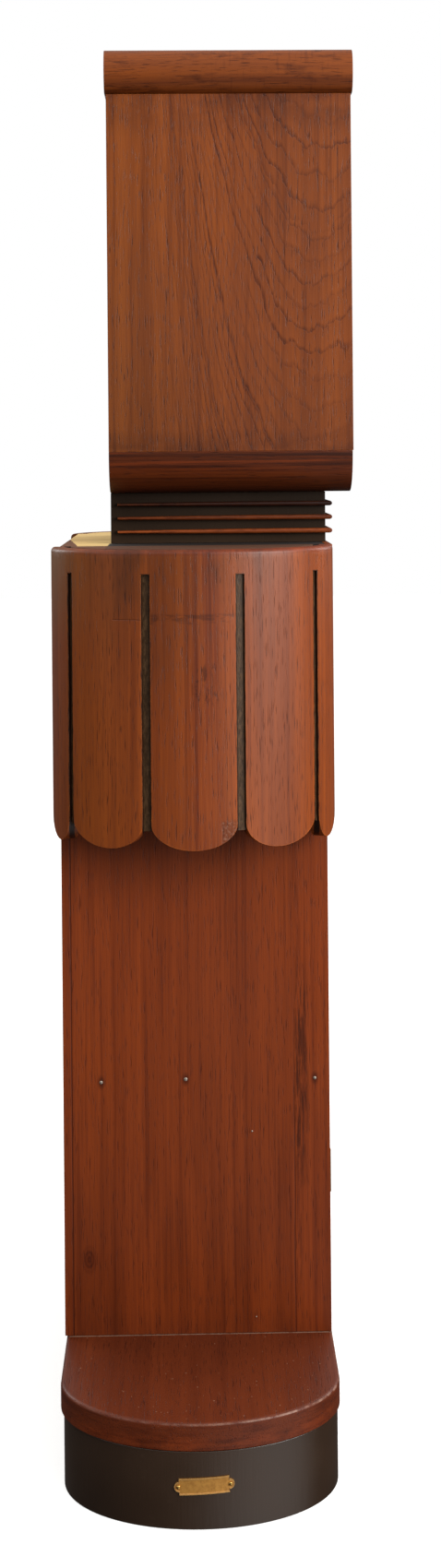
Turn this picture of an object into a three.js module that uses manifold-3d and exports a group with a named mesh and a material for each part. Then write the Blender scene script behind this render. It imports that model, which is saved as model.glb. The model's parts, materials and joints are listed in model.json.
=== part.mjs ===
// A longcase clock: a plinth with oval ends, a trunk between two half-oval drums, a dark ribbed neck and a
// square head with rounded shoulders. Inside: a pendulum, two weights and a movement with its motion work.
// Millimetres. X is the width, -Y the front, +Z up. The origin is on the floor under the trunk's centre.
import * as THREE from "three";
import { mergeVertices } from "three/addons/utils/BufferGeometryUtils.js";
import Module from "manifold-3d";

const wasm = await Module();
wasm.setup();

// ---- driving dimensions ----
const GAP = 0.3; // between pieces that touch
const BASE_TOP = 98;
const SLAB_TOP = 133.5;
const DECK_TOP = 1217;
const DECK_THICK = 20;
const NECK_TOP = 1288.5;
const HEAD_BOTTOM = 1346;
const HEAD_TOP = 1841;
const CLOCK_TOP = 1901;
const TRUNK_X = 200; // outer faces of the side boards
const TRUNK_Y = 183; // front and rear edges of the side boards
const BOARD = 22; // thickness of the trunk's side boards
const BACK_THICK = 14;
const BACK_SET = 2; // how far the trunk's back and front frame lie inside its boards' edges
const STILE = 40; // the fixed frame round the trunk door
const RAIL = 60;
const OPENING_TOP = 1110;
const FASCIA_BOTTOM = 1130;
const PLINTH_STRAIGHT_X = 308;
const PLINTH_NOSE = 112;
const BASE_FRONT = -181;
const BASE_REAR = 177;
const BASE_INSET = 1.5; // the base's noses lie this far inside the slab's
const SLAB_FRONT = -184;
const SLAB_REAR = 181;
const PLATE_Y = -5; // the middle of the name plate
const PLATE_Z = 55.5;
const PLATE_HALF_LENGTH = 31.5; // between the middles of its ears
const PLATE_HALF_HEIGHT = 10;
const PLATE_EAR = 6.2;
const PLATE_TILT = -2.5; // degrees
const PLATE_ARC = 8; // steps round each ear
const DRUM_Y = 193;
const DRUM_NOSE = 126;
const DRUM_THICK = 18;
const DRUM_TIP = 825.5;
const DRUM_SCALLOP = 34;
const SLOT_TOP = 1185;
const SLOTS = [
  { y: -164, width: 6 },
  { y: -62, width: 11.5 },
  { y: 62, width: 11.5 },
  { y: 164, width: 6 },
];
const LINER_THICK = 8;
const LINER_BOTTOM = 850;
const LINER_TOP = 1211;
const STRIP_INSET = 4; // the lining's strips lie this far inside the drum's face
const NECK_X = 134;
const NECK_FRONT = -189;
const REAR = 114; // the rear of the neck and the head
const NECK_WALL = 16;
const FIN_HEIGHT = 7;
const FIN_LOWEST = 1233.5; // the middle of the lowest fin
const FIN_STEP = 19.2;
const FIN_PROUD = 9;
const FIN_END = 10; // the fins stop this far before the neck's rear
const HEAD_X = 184;
const HEAD_FRONT = -225;
const HEAD_WALL = 18;
const HEAD_FLOOR_THICK = 22;
const HEAD_BACK_THICK = 11;
const HEAD_RAIL_SET = 2; // how far the head's rail and floor lie behind its sides' front edges
const CORNICE_PROUD = 17;
const CORNICE_LAP = 2; // how far the rolls run past the sides' front and rear edges
const CORNICE_WIDE = 44; // from the sides' outer faces in to the top board
const TOP_SET = 8; // the top board's face lies this far under the rolls' tops
const DOOR_THICK = 20;
const DOOR_GAP = 1.5;
const GLASS = 3;
const PANE_DEEP = 9; // from a door's face to its rebate
const TRUNK_DOOR_FRAME = { bar: 34, rebate: 7 };
const HEAD_DOOR_FRAME = { bar: 36, rebate: 8 };
const HEAD_DOOR_SET = 3; // the dial door's face lies this far behind the sides' front edges
const HEAD_DOOR_ROUND = 9; // the hung edge is rounded about its pivot
const TRUNK_KNOB = { inset: 17, z: 700, r: 9 };
const HEAD_KNOB = { inset: 18, r: 8 };
const HINGE_HEIGHTS = { lower: 330, upper: 975 };
const HINGE_LEAF = { width: 20, height: 30, thick: 2 };
const KNUCKLE_R = 3.4;
const KNUCKLE_PROUD = 4.5; // the pin line stands this far before the door's face
const PIVOT_R = 2.7; // the pins that the dial door hangs on
const PIVOT_HALF = 12;
const SOCKET_DEEP = 14; // the holes that the pins stand in
const DIAL_Z = 1596;
const DIAL_FRONT = -182;
const DIAL_THICK = 2;
const DIAL_BORDER = 12;
const DIAL_END = 20; // the plate's top and foot lie this far inside the head's
const RING_IN = 104;
const RING_OUT = 138;
const RING_THICK = 1.5;
const MARK_PROUD = 1.5;
const ARBOR_R = 2.6; // the centre arbor and the minute wheel's post
const PIPE_R = 5;
const MINUTE_HAND = { length: 122, width: 9, tail: 30, angle: 60 };
const HOUR_HAND = { length: 84, width: 12, tail: 18, angle: 305 };
const HAND_THICK = 1.5;
const WHEEL_THICK = 6;
const PLATE_THICK = 3; // the movement's plates
const PLATES_X = 74;
const PLATES_LOW = 1512;
const PLATES_TOP = 1690;
const PLATE_FRONT = -150;
const PLATE_BACK = -92;
const PIVOT_HOLE = 2;
const PILLAR = { x: 64, low: 1522, high: 1680, r: 5 };
const SEAT = { thick: 18, front: -158, rear: -84 };
const LINE_HOLE = 8; // in the seat board, for the weights' lines
const LINE_R = 1.2;
const ESCAPE = { x: 30, z: 1612, tip: 26, root: 21, front: -124, rear: -121.5 };
const SMALL_ARBOR_R = 1.7;
const PALLET_REACH = 30;
const CRUTCH_LENGTH = 150;
const GEAR_MODULE = 1.5;
const CANNON_TEETH = 15;
const MINUTE_TEETH = 45;
const PINION_TEETH = 12;
const HOUR_TEETH = 48;
const ESCAPE_TEETH = 30;
const PALLET_Z = 1660; // the pendulum and the anchor swing about this height
const PENDULUM_Y = -62;
const BOB_Z = 690;
const BOB_R = 92;
const BOB_HALF = 15;
const THREAD_R = 2.2;
const WEIGHT_X = 50;
const WEIGHT_Y = -122;
const WEIGHT_TOP = 1010;
const WEIGHT_LENGTH = 200;
const WEIGHT_R = 26;

// ---- materials ----
function material(color, roughness, metalness = 0) {
  return new THREE.MeshStandardMaterial({ color, roughness, metalness });
}
const teak = material(0x7d4526, 0.5);
const drumTeak = material(0x87481f, 0.5);
const slabTeak = material(0x66301c, 0.45);
const moulding = material(0x4f2410, 0.45);
const finWood = material(0x84431f, 0.5);
const blackPaint = material(0x2a201a, 0.4);
const bareWood = material(0xc8a46a, 0.8);
const brass = material(0xb08a45, 0.35, 1);
const steel = material(0x8d9096, 0.3, 1);
const glass = material(0xdfe8e8, 0.05);
const silvered = material(0xcfcac0, 0.45, 0.6);

const clock = new THREE.Group();

function place(name, geometry, finish) {
  const mesh = new THREE.Mesh(geometry, finish);
  mesh.name = name;
  clock.add(mesh);
}

// ---- solids: booleans ----
function solid(geometry) {
  const bare = geometry.index ? geometry.toNonIndexed() : geometry.clone();
  bare.deleteAttribute("normal");
  bare.deleteAttribute("uv");
  const merged = mergeVertices(bare, 1e-4);
  return new wasm.Manifold(
    new wasm.Mesh({
      numProp: 3,
      vertProperties: new Float32Array(merged.attributes.position.array),
      triVerts: new Uint32Array(merged.index.array),
    }),
  );
}

function geometryOf(made) {
  const mesh = made.getMesh();
  const geometry = new THREE.BufferGeometry();
  geometry.setAttribute("position", new THREE.BufferAttribute(mesh.vertProperties, 3));
  geometry.setIndex(new THREE.BufferAttribute(mesh.triVerts, 1));
  geometry.computeVertexNormals();
  return geometry;
}

function joined(...geometries) {
  return geometryOf(geometries.map(solid).reduce((a, b) => a.add(b)));
}

function cut(geometry, ...tools) {
  return geometryOf(tools.map(solid).reduce((a, b) => a.subtract(b), solid(geometry)));
}

// ---- shapes ----
function box(x0, x1, y0, y1, z0, z1) {
  const made = new THREE.BoxGeometry(x1 - x0, y1 - y0, z1 - z0);
  return made.translate((x0 + x1) / 2, (y0 + y1) / 2, (z0 + z1) / 2);
}

function outline(points) {
  return new THREE.Shape(points.map(([x, y]) => new THREE.Vector2(x, y)));
}

// A plan outline raised from z0 to z1.
function slab(points, z0, z1) {
  const made = new THREE.ExtrudeGeometry(outline(points), { depth: z1 - z0, bevelEnabled: false });
  return made.translate(0, 0, z0);
}

// An outline in X and Z, seen from the front, given a thickness from y0 to y1.
function frontPlate(points, y0, y1) {
  const made = new THREE.ExtrudeGeometry(outline(points), { depth: y1 - y0, bevelEnabled: false });
  return made.rotateX(Math.PI / 2).translate(0, y1, 0);
}

// An outline in Y and Z, seen from the side, given a thickness from x0 to x1.
function sidePlate(points, x0, x1) {
  const made = new THREE.ExtrudeGeometry(outline(points), { depth: x1 - x0, bevelEnabled: false });
  return made.rotateX(Math.PI / 2).rotateZ(Math.PI / 2).translate(x0, 0, 0);
}

// A turned piece about a line along Y, through x and z: profile is a list of [radius, y].
function turnedY(profile, x, z, segments = 24) {
  const points = profile.map(([r, y]) => new THREE.Vector2(r, y));
  return new THREE.LatheGeometry(points, segments).translate(x, 0, z);
}

// The closed profile of a tube about a line along Y.
function tube(inner, outer, front, rear) {
  return [[inner, front], [outer, front], [outer, rear], [inner, rear], [inner, front]];
}

// A turned piece about an upright line through x and y: profile is a list of [radius, z].
function turnedZ(profile, x, y, segments = 24) {
  const points = profile.map(([r, z]) => new THREE.Vector2(r, z));
  return new THREE.LatheGeometry(points, segments).rotateX(Math.PI / 2).translate(x, y, 0);
}

function rodY(r, y0, y1, x, z, segments = 16) {
  return turnedY([[0, y0], [r, y0], [r, y1], [0, y1]], x, z, segments);
}

function rodZ(r, z0, z1, x, y, segments = 16) {
  return turnedZ([[0, z0], [r, z0], [r, z1], [0, z1]], x, y, segments);
}

function arc(cx, cy, rx, ry, from, to, steps) {
  return Array.from({ length: steps + 1 }, (_, i) => {
    const t = THREE.MathUtils.degToRad(from + ((to - from) * i) / steps);
    return [cx + rx * Math.cos(t), cy + ry * Math.sin(t)];
  });
}

function mirrored(geometry) {
  const twin = geometry.index ? geometry.toNonIndexed() : geometry.clone();
  const position = twin.attributes.position;
  for (let i = 0; i < position.count; i += 3) {
    const corners = [0, 2, 1].map((k) => new THREE.Vector3().fromBufferAttribute(position, i + k));
    corners.forEach((v, k) => position.setXYZ(i + k, -v.x, v.y, v.z));
  }
  twin.deleteAttribute("normal");
  return twin;
}

function placePair(name, geometry, finish) {
  place(`${name}_left`, geometry, finish);
  place(`${name}_right`, mirrored(geometry), finish);
}

// ---- plinth ----
function plinthPlan(front, rear, shrink) {
  const cy = (front + rear) / 2;
  const ry = (rear - front) / 2;
  const nose = PLINTH_NOSE - shrink;
  return [
    ...arc(PLINTH_STRAIGHT_X, cy, nose, ry, -90, 90, 28),
    ...arc(-PLINTH_STRAIGHT_X, cy, nose, ry, 90, 270, 28),
  ];
}
function basePlan(proud) {
  return plinthPlan(BASE_FRONT, BASE_REAR, BASE_INSET - proud);
}
place("plinth_base", slab(basePlan(0), 0, BASE_TOP - GAP), blackPaint);
place("plinth_slab", slab(plinthPlan(SLAB_FRONT, SLAB_REAR, 0), BASE_TOP, SLAB_TOP), slabTeak);

// A thin blank plate with a rounded ear at each end, bent round the base's nose and a little askew.
function namePlate() {
  const flat = [
    ...arc(PLATE_HALF_LENGTH, 0, PLATE_EAR, PLATE_EAR, -90, 90, PLATE_ARC),
    [PLATE_HALF_LENGTH, PLATE_HALF_HEIGHT],
    [-PLATE_HALF_LENGTH, PLATE_HALF_HEIGHT],
    ...arc(-PLATE_HALF_LENGTH, 0, PLATE_EAR, PLATE_EAR, 90, 270, PLATE_ARC),
    [-PLATE_HALF_LENGTH, -PLATE_HALF_HEIGHT],
    [PLATE_HALF_LENGTH, -PLATE_HALF_HEIGHT],
  ];
  const tilt = THREE.MathUtils.degToRad(PLATE_TILT);
  const askew = flat.map(([u, v]) => [
    PLATE_Y + u * Math.cos(tilt) - v * Math.sin(tilt),
    PLATE_Z + u * Math.sin(tilt) + v * Math.cos(tilt),
  ]);
  const through = solid(sidePlate(askew, -PLINTH_STRAIGHT_X - PLINTH_NOSE - 1, -PLINTH_STRAIGHT_X));
  const face = solid(slab(basePlan(BASE_INSET), 0, BASE_TOP));
  return geometryOf(through.intersect(face).subtract(solid(slab(basePlan(GAP), 0, BASE_TOP))));
}
place("name_plate", namePlate(), brass);

// ---- trunk ----
const trunkTop = DECK_TOP - DECK_THICK - GAP;
const sideBoard = box(-TRUNK_X, -TRUNK_X + BOARD, -TRUNK_Y, TRUNK_Y, SLAB_TOP + GAP, trunkTop);
placePair("side_board", sideBoard, teak);

const insideX = TRUNK_X - BOARD - GAP;
const backY = TRUNK_Y - BACK_SET;
const backBoard = box(-insideX, insideX, backY - BACK_THICK, backY, SLAB_TOP + GAP, trunkTop);
place("trunk_back", backBoard, bareWood);

const openX = insideX - STILE;
const openLow = SLAB_TOP + RAIL;
const frontY = -TRUNK_Y + BACK_SET;
const frontFrame = cut(
  box(-insideX, insideX, frontY, frontY + DOOR_THICK, SLAB_TOP + GAP, trunkTop),
  box(-openX, openX, frontY - 1, frontY + DOOR_THICK + 1, openLow, OPENING_TOP),
);
place("trunk_front_frame", frontFrame, teak);
const fascia = box(-TRUNK_X + 1, TRUNK_X - 1, -DRUM_Y, -TRUNK_Y - GAP, FASCIA_BOTTOM, DECK_TOP);
place("front_fascia", fascia, drumTeak);

// A door: a frame with a rebate behind the opening for its pane.
function doorFrame({ x, z0, z1, y }, { bar, rebate }) {
  const rear = y + DOOR_THICK;
  const lip = bar - rebate;
  return cut(
    box(-x, x, y, rear, z0, z1),
    box(-x + bar, x - bar, y - 1, rear + 1, z0 + bar, z1 - bar),
    box(-x + lip, x - lip, y + PANE_DEEP, rear + 1, z0 + lip, z1 - lip),
  );
}

function doorPane({ x, z0, z1, y }, { bar, rebate }) {
  const inset = bar - rebate + GAP;
  const front = y + PANE_DEEP + GAP;
  return box(-x + inset, x - inset, front, front + GLASS, z0 + inset, z1 - inset);
}

function doorKnob(x, y, z, r) {
  const profile = [[0, y - 18], [r * 0.7, y - 17], [r, y - 13], [r * 0.8, y - 8]];
  return turnedY([...profile, [r * 0.45, y - 5], [r * 0.7, y - GAP], [0, y - GAP]], x, z, 20);
}

const trunkDoor = { x: openX - DOOR_GAP, z0: openLow + DOOR_GAP, z1: OPENING_TOP - DOOR_GAP, y: frontY };
place("trunk_door", doorFrame(trunkDoor, TRUNK_DOOR_FRAME), teak);
place("trunk_door_glass", doorPane(trunkDoor, TRUNK_DOOR_FRAME), glass);
const trunkKnobX = trunkDoor.x - TRUNK_KNOB.inset;
place("trunk_door_knob", doorKnob(trunkKnobX, frontY, TRUNK_KNOB.z, TRUNK_KNOB.r), brass);

// Butt hinges on the left of the trunk door: a leaf and a knuckle on each side of the pin line.
const hingeX = -openX + DOOR_GAP / 2;
const hingeY = frontY - KNUCKLE_PROUD;
function leaf(x0, x1, z0, z1) {
  const barrel = rodZ(KNUCKLE_R, z0, z1, hingeX, hingeY, 14);
  return joined(barrel, box(x0, x1, frontY - GAP - HINGE_LEAF.thick, frontY - GAP, z0, z1));
}
for (const [where, z] of Object.entries(HINGE_HEIGHTS)) {
  const fixed = leaf(hingeX - HINGE_LEAF.width, hingeX, z + GAP, z + HINGE_LEAF.height);
  const moving = leaf(hingeX, hingeX + HINGE_LEAF.width, z - HINGE_LEAF.height, z);
  place(`trunk_hinge_${where}`, fixed, brass);
  place(`trunk_door_hinge_${where}`, moving, brass);
}

// ---- drums ----
// The region under the five rounded tongues, and the slots between them.
function scallopCutter() {
  const edges = [-DRUM_Y, ...SLOTS.flatMap(({ y, width }) => [y - width / 2, y + width / 2]), DRUM_Y];
  const shoulder = DRUM_TIP + DRUM_SCALLOP;
  const side = DRUM_Y + 5;
  const below = DRUM_TIP - 100;
  const points = [[-side, below], [-side, shoulder]];
  for (let i = 0; i < edges.length; i += 2) {
    const middle = (edges[i] + edges[i + 1]) / 2;
    const half = (edges[i + 1] - edges[i]) / 2;
    points.push(...arc(middle, shoulder, half, DRUM_SCALLOP, 180, 360, 10));
  }
  points.push([side, shoulder], [side, below]);
  return sidePlate(points.reverse(), -TRUNK_X - DRUM_NOSE - 10, -TRUNK_X + 10);
}

// A half-oval wall on the left of the trunk, inset from the drum's outer face.
function halfOval(inset, thick, z0, z1) {
  const outer = arc(-TRUNK_X - GAP, 0, DRUM_NOSE - inset, DRUM_Y - inset, 90, 270, 32);
  const deep = inset + thick;
  const inner = arc(-TRUNK_X - GAP, 0, DRUM_NOSE - deep, DRUM_Y - deep, 270, 90, 32);
  return slab([...outer, ...inner], z0, z1);
}

// The upright space of one slot, narrowed by play on each side.
function slotSpace({ y, width }, play, z0, z1) {
  const half = width / 2 - play;
  return box(-TRUNK_X - DRUM_NOSE - 10, -TRUNK_X + 10, y - half, y + half, z0, z1);
}

function drum() {
  const cutters = SLOTS.map((slot) => slotSpace(slot, 0, DRUM_TIP + DRUM_SCALLOP - 5, SLOT_TOP));
  return cut(halfOval(0, DRUM_THICK, DRUM_TIP - 1, DECK_TOP), scallopCutter(), ...cutters);
}
placePair("drum", drum(), drumTeak);

// The black lining inside the drum, with a strip on it that fills each slot to just under the drum's face.
function liner() {
  const wall = solid(halfOval(DRUM_THICK + GAP, LINER_THICK, LINER_BOTTOM, LINER_TOP));
  const band = solid(halfOval(STRIP_INSET, DRUM_THICK, LINER_BOTTOM, SLOT_TOP - GAP));
  const strips = SLOTS.map((slot) => band.intersect(solid(slotSpace(slot, GAP, LINER_BOTTOM, SLOT_TOP))));
  return geometryOf(strips.reduce((a, b) => a.add(b), wall));
}
placePair("drum_liner", liner(), blackPaint);

// ---- deck ----
const wellX = NECK_X - NECK_WALL;
const wellFront = NECK_FRONT + NECK_WALL;
const wellRear = REAR - NECK_WALL;
const neckWell = box(-wellX, wellX, wellFront, wellRear, DECK_TOP - DECK_THICK - 1, HEAD_BOTTOM);
function deckPlan() {
  const inset = DRUM_THICK + LINER_THICK + 2 * GAP;
  return [
    ...arc(TRUNK_X + GAP, 0, DRUM_NOSE - inset, DRUM_Y - inset, -90, 90, 20),
    ...arc(-TRUNK_X - GAP, 0, DRUM_NOSE - inset, DRUM_Y - inset, 90, 270, 20),
  ];
}
const deck = cut(
  joined(
    slab(deckPlan(), DECK_TOP - DECK_THICK, DECK_TOP),
    box(-TRUNK_X, TRUNK_X, -TRUNK_Y, backY, DECK_TOP - DECK_THICK, DECK_TOP),
  ),
  neckWell,
);
place("deck", deck, bareWood);

// ---- neck ----
const neck = box(-NECK_X, NECK_X, NECK_FRONT, REAR, DECK_TOP + GAP, NECK_TOP - GAP);
place("neck", cut(neck, neckWell), blackPaint);

// A thin band round the front and the two sides of the neck.
function fin(z) {
  const inner = NECK_X + GAP;
  const front = NECK_FRONT - GAP;
  const ends = REAR - FIN_END;
  const outer = NECK_X + FIN_PROUD;
  const points = [
    [-outer, ends],
    [-outer, front - FIN_PROUD],
    [outer, front - FIN_PROUD],
    [outer, ends],
    [inner, ends],
    [inner, front],
    [-inner, front],
    [-inner, ends],
  ];
  return slab(points, z - FIN_HEIGHT / 2, z + FIN_HEIGHT / 2);
}
["lower", "middle", "upper"].forEach((where, i) => {
  place(`neck_fin_${where}`, fin(FIN_LOWEST + FIN_STEP * i), finWood);
});

// ---- head ----
const headInX = HEAD_X - HEAD_WALL - GAP;
const floorX = NECK_X - GAP;
const floorTop = NECK_TOP + HEAD_FLOOR_THICK;
const railY = HEAD_FRONT + HEAD_RAIL_SET;
place("head_floor", cut(box(-floorX, floorX, railY, REAR, NECK_TOP, floorTop), neckWell), teak);
place("head_front_rail", box(-floorX, floorX, railY, railY + DOOR_THICK, floorTop + GAP, HEAD_BOTTOM), teak);

const headDoor = {
  x: HEAD_X - HEAD_WALL - DOOR_GAP,
  z0: HEAD_BOTTOM + DOOR_GAP + GAP,
  z1: HEAD_TOP - DOOR_GAP,
  y: HEAD_FRONT + HEAD_DOOR_SET,
};
const pivotX = -headDoor.x + HEAD_DOOR_ROUND;
const pivotY = headDoor.y + HEAD_DOOR_ROUND;
function pivotSocket(z0, z1) {
  return rodZ(PIVOT_R + GAP, z0, z1, pivotX, pivotY);
}

// The shoulder under each side of the head: a quarter round that curves in to the neck.
function shoulder() {
  const rx = HEAD_X - NECK_X;
  const rz = HEAD_BOTTOM - NECK_TOP;
  const curve = arc(-NECK_X, HEAD_BOTTOM, rx, rz, 180, 270, 14).slice(1);
  const top = HEAD_BOTTOM - GAP;
  const points = [[-HEAD_X, HEAD_BOTTOM - 3], ...curve, [-NECK_X, top], [-HEAD_X, top]];
  return frontPlate(points, HEAD_FRONT + 1, REAR);
}
place("shoulder_left", cut(shoulder(), pivotSocket(HEAD_BOTTOM - SOCKET_DEEP, HEAD_BOTTOM + 1)), moulding);
place("shoulder_right", mirrored(shoulder()), moulding);

const headSide = box(-HEAD_X, -HEAD_X + HEAD_WALL, HEAD_FRONT, REAR, HEAD_BOTTOM, HEAD_TOP);
placePair("head_side", headSide, teak);

const headBack = frontPlate(
  [
    [-headInX, HEAD_TOP - GAP],
    [-headInX, HEAD_BOTTOM + GAP],
    [-floorX, HEAD_BOTTOM + GAP],
    [-floorX, floorTop + GAP],
    [floorX, floorTop + GAP],
    [floorX, HEAD_BOTTOM + GAP],
    [headInX, HEAD_BOTTOM + GAP],
    [headInX, HEAD_TOP - GAP],
  ],
  REAR - 1 - HEAD_BACK_THICK,
  REAR - 1,
);
place("head_back", headBack, bareWood);

// The half-round roll along the top of each side, and the board between the two rolls.
const rollInner = HEAD_X - CORNICE_WIDE;
const rollLow = HEAD_TOP + GAP;
function roll() {
  const middle = (rollLow + CLOCK_TOP) / 2;
  const half = (CLOCK_TOP - rollLow) / 2;
  const nose = arc(-HEAD_X + 2, middle, CORNICE_PROUD + 2, half, 90, 270, 16);
  const section = [...nose, [-rollInner, rollLow], [-rollInner, CLOCK_TOP]];
  return frontPlate(section, HEAD_FRONT - CORNICE_LAP, REAR + CORNICE_LAP);
}
place("cornice_left", cut(roll(), pivotSocket(HEAD_TOP - 1, HEAD_TOP + SOCKET_DEEP)), teak);
place("cornice_right", mirrored(roll()), teak);
const topX = rollInner - GAP;
place("head_top", box(-topX, topX, HEAD_FRONT - 1, REAR + 1, rollLow, CLOCK_TOP - TOP_SET), teak);

// ---- dial door, hung on a pivot pin at its top and bottom ----
function hungDoor() {
  const { x, z0, z1, y } = headDoor;
  const corner = box(-x - 1, pivotX, y - 1, y + DOOR_THICK + 1, z0 - 1, z1 + 1);
  const round = rodZ(HEAD_DOOR_ROUND, z0, z1, pivotX, pivotY, 32);
  const square = cut(doorFrame(headDoor, HEAD_DOOR_FRAME), corner);
  const sockets = [pivotSocket(z0 - 1, z0 + SOCKET_DEEP), pivotSocket(z1 - SOCKET_DEEP, z1 + 1)];
  return cut(joined(square, round), ...sockets);
}
place("head_door", hungDoor(), teak);
place("head_door_glass", doorPane(headDoor, HEAD_DOOR_FRAME), glass);
place("head_door_knob", doorKnob(headDoor.x - HEAD_KNOB.inset, headDoor.y, DIAL_Z, HEAD_KNOB.r), brass);
const pivotHeights = { lower: (HEAD_BOTTOM + headDoor.z0) / 2, upper: (HEAD_TOP + headDoor.z1) / 2 };
for (const [where, z] of Object.entries(pivotHeights)) {
  place(`head_pivot_${where}`, rodZ(PIVOT_R, z - PIVOT_HALF, z + PIVOT_HALF, pivotX, pivotY), brass);
}

// ---- dial ----
const dialX = headInX - DIAL_BORDER;
const dialRear = DIAL_FRONT + DIAL_THICK;
const dialPlate = cut(
  box(-dialX, dialX, DIAL_FRONT, dialRear, HEAD_BOTTOM + DIAL_END, HEAD_TOP - DIAL_END),
  rodY(PIPE_R + 2, DIAL_FRONT - 1, dialRear + 1, 0, DIAL_Z),
);
place("dial_plate", dialPlate, silvered);

// A flat ring with a plain mark at each hour, longer at the quarters.
function chapterRing() {
  const rear = DIAL_FRONT - GAP;
  const front = rear - RING_THICK;
  const ring = turnedY(tube(RING_IN, RING_OUT, front, rear), 0, 0, 60);
  const outer = RING_OUT - 4;
  const marks = Array.from({ length: 12 }, (_, i) => {
    const length = i % 3 === 0 ? 26 : 18;
    const mark = box(-2.5, 2.5, front - MARK_PROUD, front + 0.5, outer - length, outer);
    return mark.rotateY((i * Math.PI) / 6);
  });
  return joined(ring, ...marks).translate(0, 0, DIAL_Z);
}
place("chapter_ring", chapterRing(), brass);

// ---- gears ----
// A wheel about a line along Y: straight-sided teeth, thinner than their spaces so that they run freely.
function gear(teeth, y0, y1, boreR, phase) {
  const pitchR = (GEAR_MODULE * teeth) / 2;
  const step = (2 * Math.PI) / teeth;
  const points = [];
  for (let i = 0; i < teeth; i += 1) {
    const middle = phase + i * step;
    const corners = [
      [pitchR - 1.2 * GEAR_MODULE, -0.27],
      [pitchR + 0.75 * GEAR_MODULE, -0.11],
      [pitchR + 0.75 * GEAR_MODULE, 0.11],
      [pitchR - 1.2 * GEAR_MODULE, 0.27],
    ];
    for (const [r, share] of corners) {
      const angle = middle + share * step;
      points.push([r * Math.cos(angle), r * Math.sin(angle)]);
    }
  }
  const wheel = frontPlate(points, y0, y1);
  return boreR ? cut(wheel, rodY(boreR, y0 - 1, y1 + 1, 0, 0, 20)) : wheel;
}

const motionX = (GEAR_MODULE * (CANNON_TEETH + MINUTE_TEETH)) / 2;

// A hand that points at an angle clockwise from twelve, seen from the front.
function hand({ length, width, tail, angle }, front, bore) {
  const rear = front + HAND_THICK;
  const points = [
    [-width * 0.3, -tail],
    [width * 0.3, -tail],
    [width * 0.5, length * 0.62],
    [0.6, length],
    [-0.6, length],
    [-width * 0.5, length * 0.62],
  ];
  const blade = solid(frontPlate(points, front, rear)).add(solid(rodY(width * 0.9, front, rear, 0, 0, 24)));
  const made = geometryOf(blade.subtract(solid(rodY(bore, front - 1, rear + 1, 0, 0, 20))));
  return made.rotateY(THREE.MathUtils.degToRad(angle)).translate(0, 0, DIAL_Z);
}

const bore = ARBOR_R + GAP;
const cannonFront = PLATE_FRONT - 2 * WHEEL_THICK;
const cannonRear = cannonFront + WHEEL_THICK;
const hourFront = PLATE_FRONT - 22;
const hourRear = hourFront + WHEEL_THICK;
const minuteHandFront = DIAL_FRONT - 13;
const hourHandFront = DIAL_FRONT - 8.5;

// The centre arbor and the cannon pinion, which carry the minute hand.
const centreArbor = joined(
  rodY(ARBOR_R, minuteHandFront - 4, PLATE_BACK + 9, 0, 0, 16),
  gear(CANNON_TEETH, cannonFront, cannonRear, 0, 0),
).translate(0, 0, DIAL_Z);
place("cannon_pinion", centreArbor, brass);
place("minute_hand", hand(MINUTE_HAND, minuteHandFront, bore), blackPaint);
const nutFront = minuteHandFront - 4;
const nutRear = minuteHandFront - GAP;
const nutSection = [[bore, nutFront], [5, nutFront + 0.6], [6, nutRear], [bore, nutRear], [bore, nutFront]];
place("hand_nut", turnedY(nutSection, 0, DIAL_Z, 20), brass);

// The minute wheel and its pinion turn on a post on the front plate.
const minuteWheel = cut(
  joined(
    gear(MINUTE_TEETH, cannonFront, cannonRear, 0, 0),
    gear(PINION_TEETH, hourFront, cannonFront + 1, 0, Math.PI + Math.PI / PINION_TEETH),
  ),
  rodY(bore, DIAL_FRONT, PLATE_FRONT, 0, 0, 16),
).translate(motionX, 0, DIAL_Z);
place("minute_wheel", minuteWheel, brass);

// The hour wheel and its pipe, which carry the hour hand.
const pipeFront = hourHandFront - 0.5;
const pipeRear = hourFront + 1;
const pipe = turnedY(tube(bore, PIPE_R, pipeFront, pipeRear), 0, 0, 20);
const hourWheel = joined(gear(HOUR_TEETH, hourFront, hourRear, bore, 0), pipe);
place("hour_wheel", hourWheel.translate(0, 0, DIAL_Z), brass);
place("hour_hand", hand(HOUR_HAND, hourHandFront, PIPE_R + GAP), blackPaint);

// ---- movement ----
function movementPlate(front, holes) {
  const rear = front + PLATE_THICK;
  const plate = box(-PLATES_X, PLATES_X, front, rear, PLATES_LOW, PLATES_TOP);
  return cut(plate, ...holes.map(([r, x, z]) => rodY(r, front - 1, rear + 1, x, z, 16)));
}
const escapeHole = [PIVOT_HOLE, ESCAPE.x, ESCAPE.z];
const frontHoles = [[3, 0, DIAL_Z], [PIVOT_HOLE, 0, PALLET_Z], escapeHole];
const post = rodY(ARBOR_R, hourFront, PLATE_FRONT + 1, motionX, DIAL_Z, 16);
place("movement_front_plate", joined(movementPlate(PLATE_FRONT, frontHoles), post), brass);
const pillarFront = PLATE_FRONT + PLATE_THICK + GAP;
const pillars = [-PILLAR.x, PILLAR.x].flatMap((x) =>
  [PILLAR.low, PILLAR.high].map((z) => rodY(PILLAR.r, pillarFront, PLATE_BACK + 1, x, z, 12)),
);
const backHoles = [[7, 0, PALLET_Z], [3, 0, DIAL_Z], escapeHole];
place("movement_back_plate", joined(movementPlate(PLATE_BACK, backHoles), ...pillars), brass);
const seatLow = PLATES_LOW - SEAT.thick;
const lineHoles = [-WEIGHT_X, WEIGHT_X].map((x) => {
  return rodZ(LINE_HOLE, seatLow - 1, PLATES_LOW + 1, x, WEIGHT_Y, 16);
});
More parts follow.
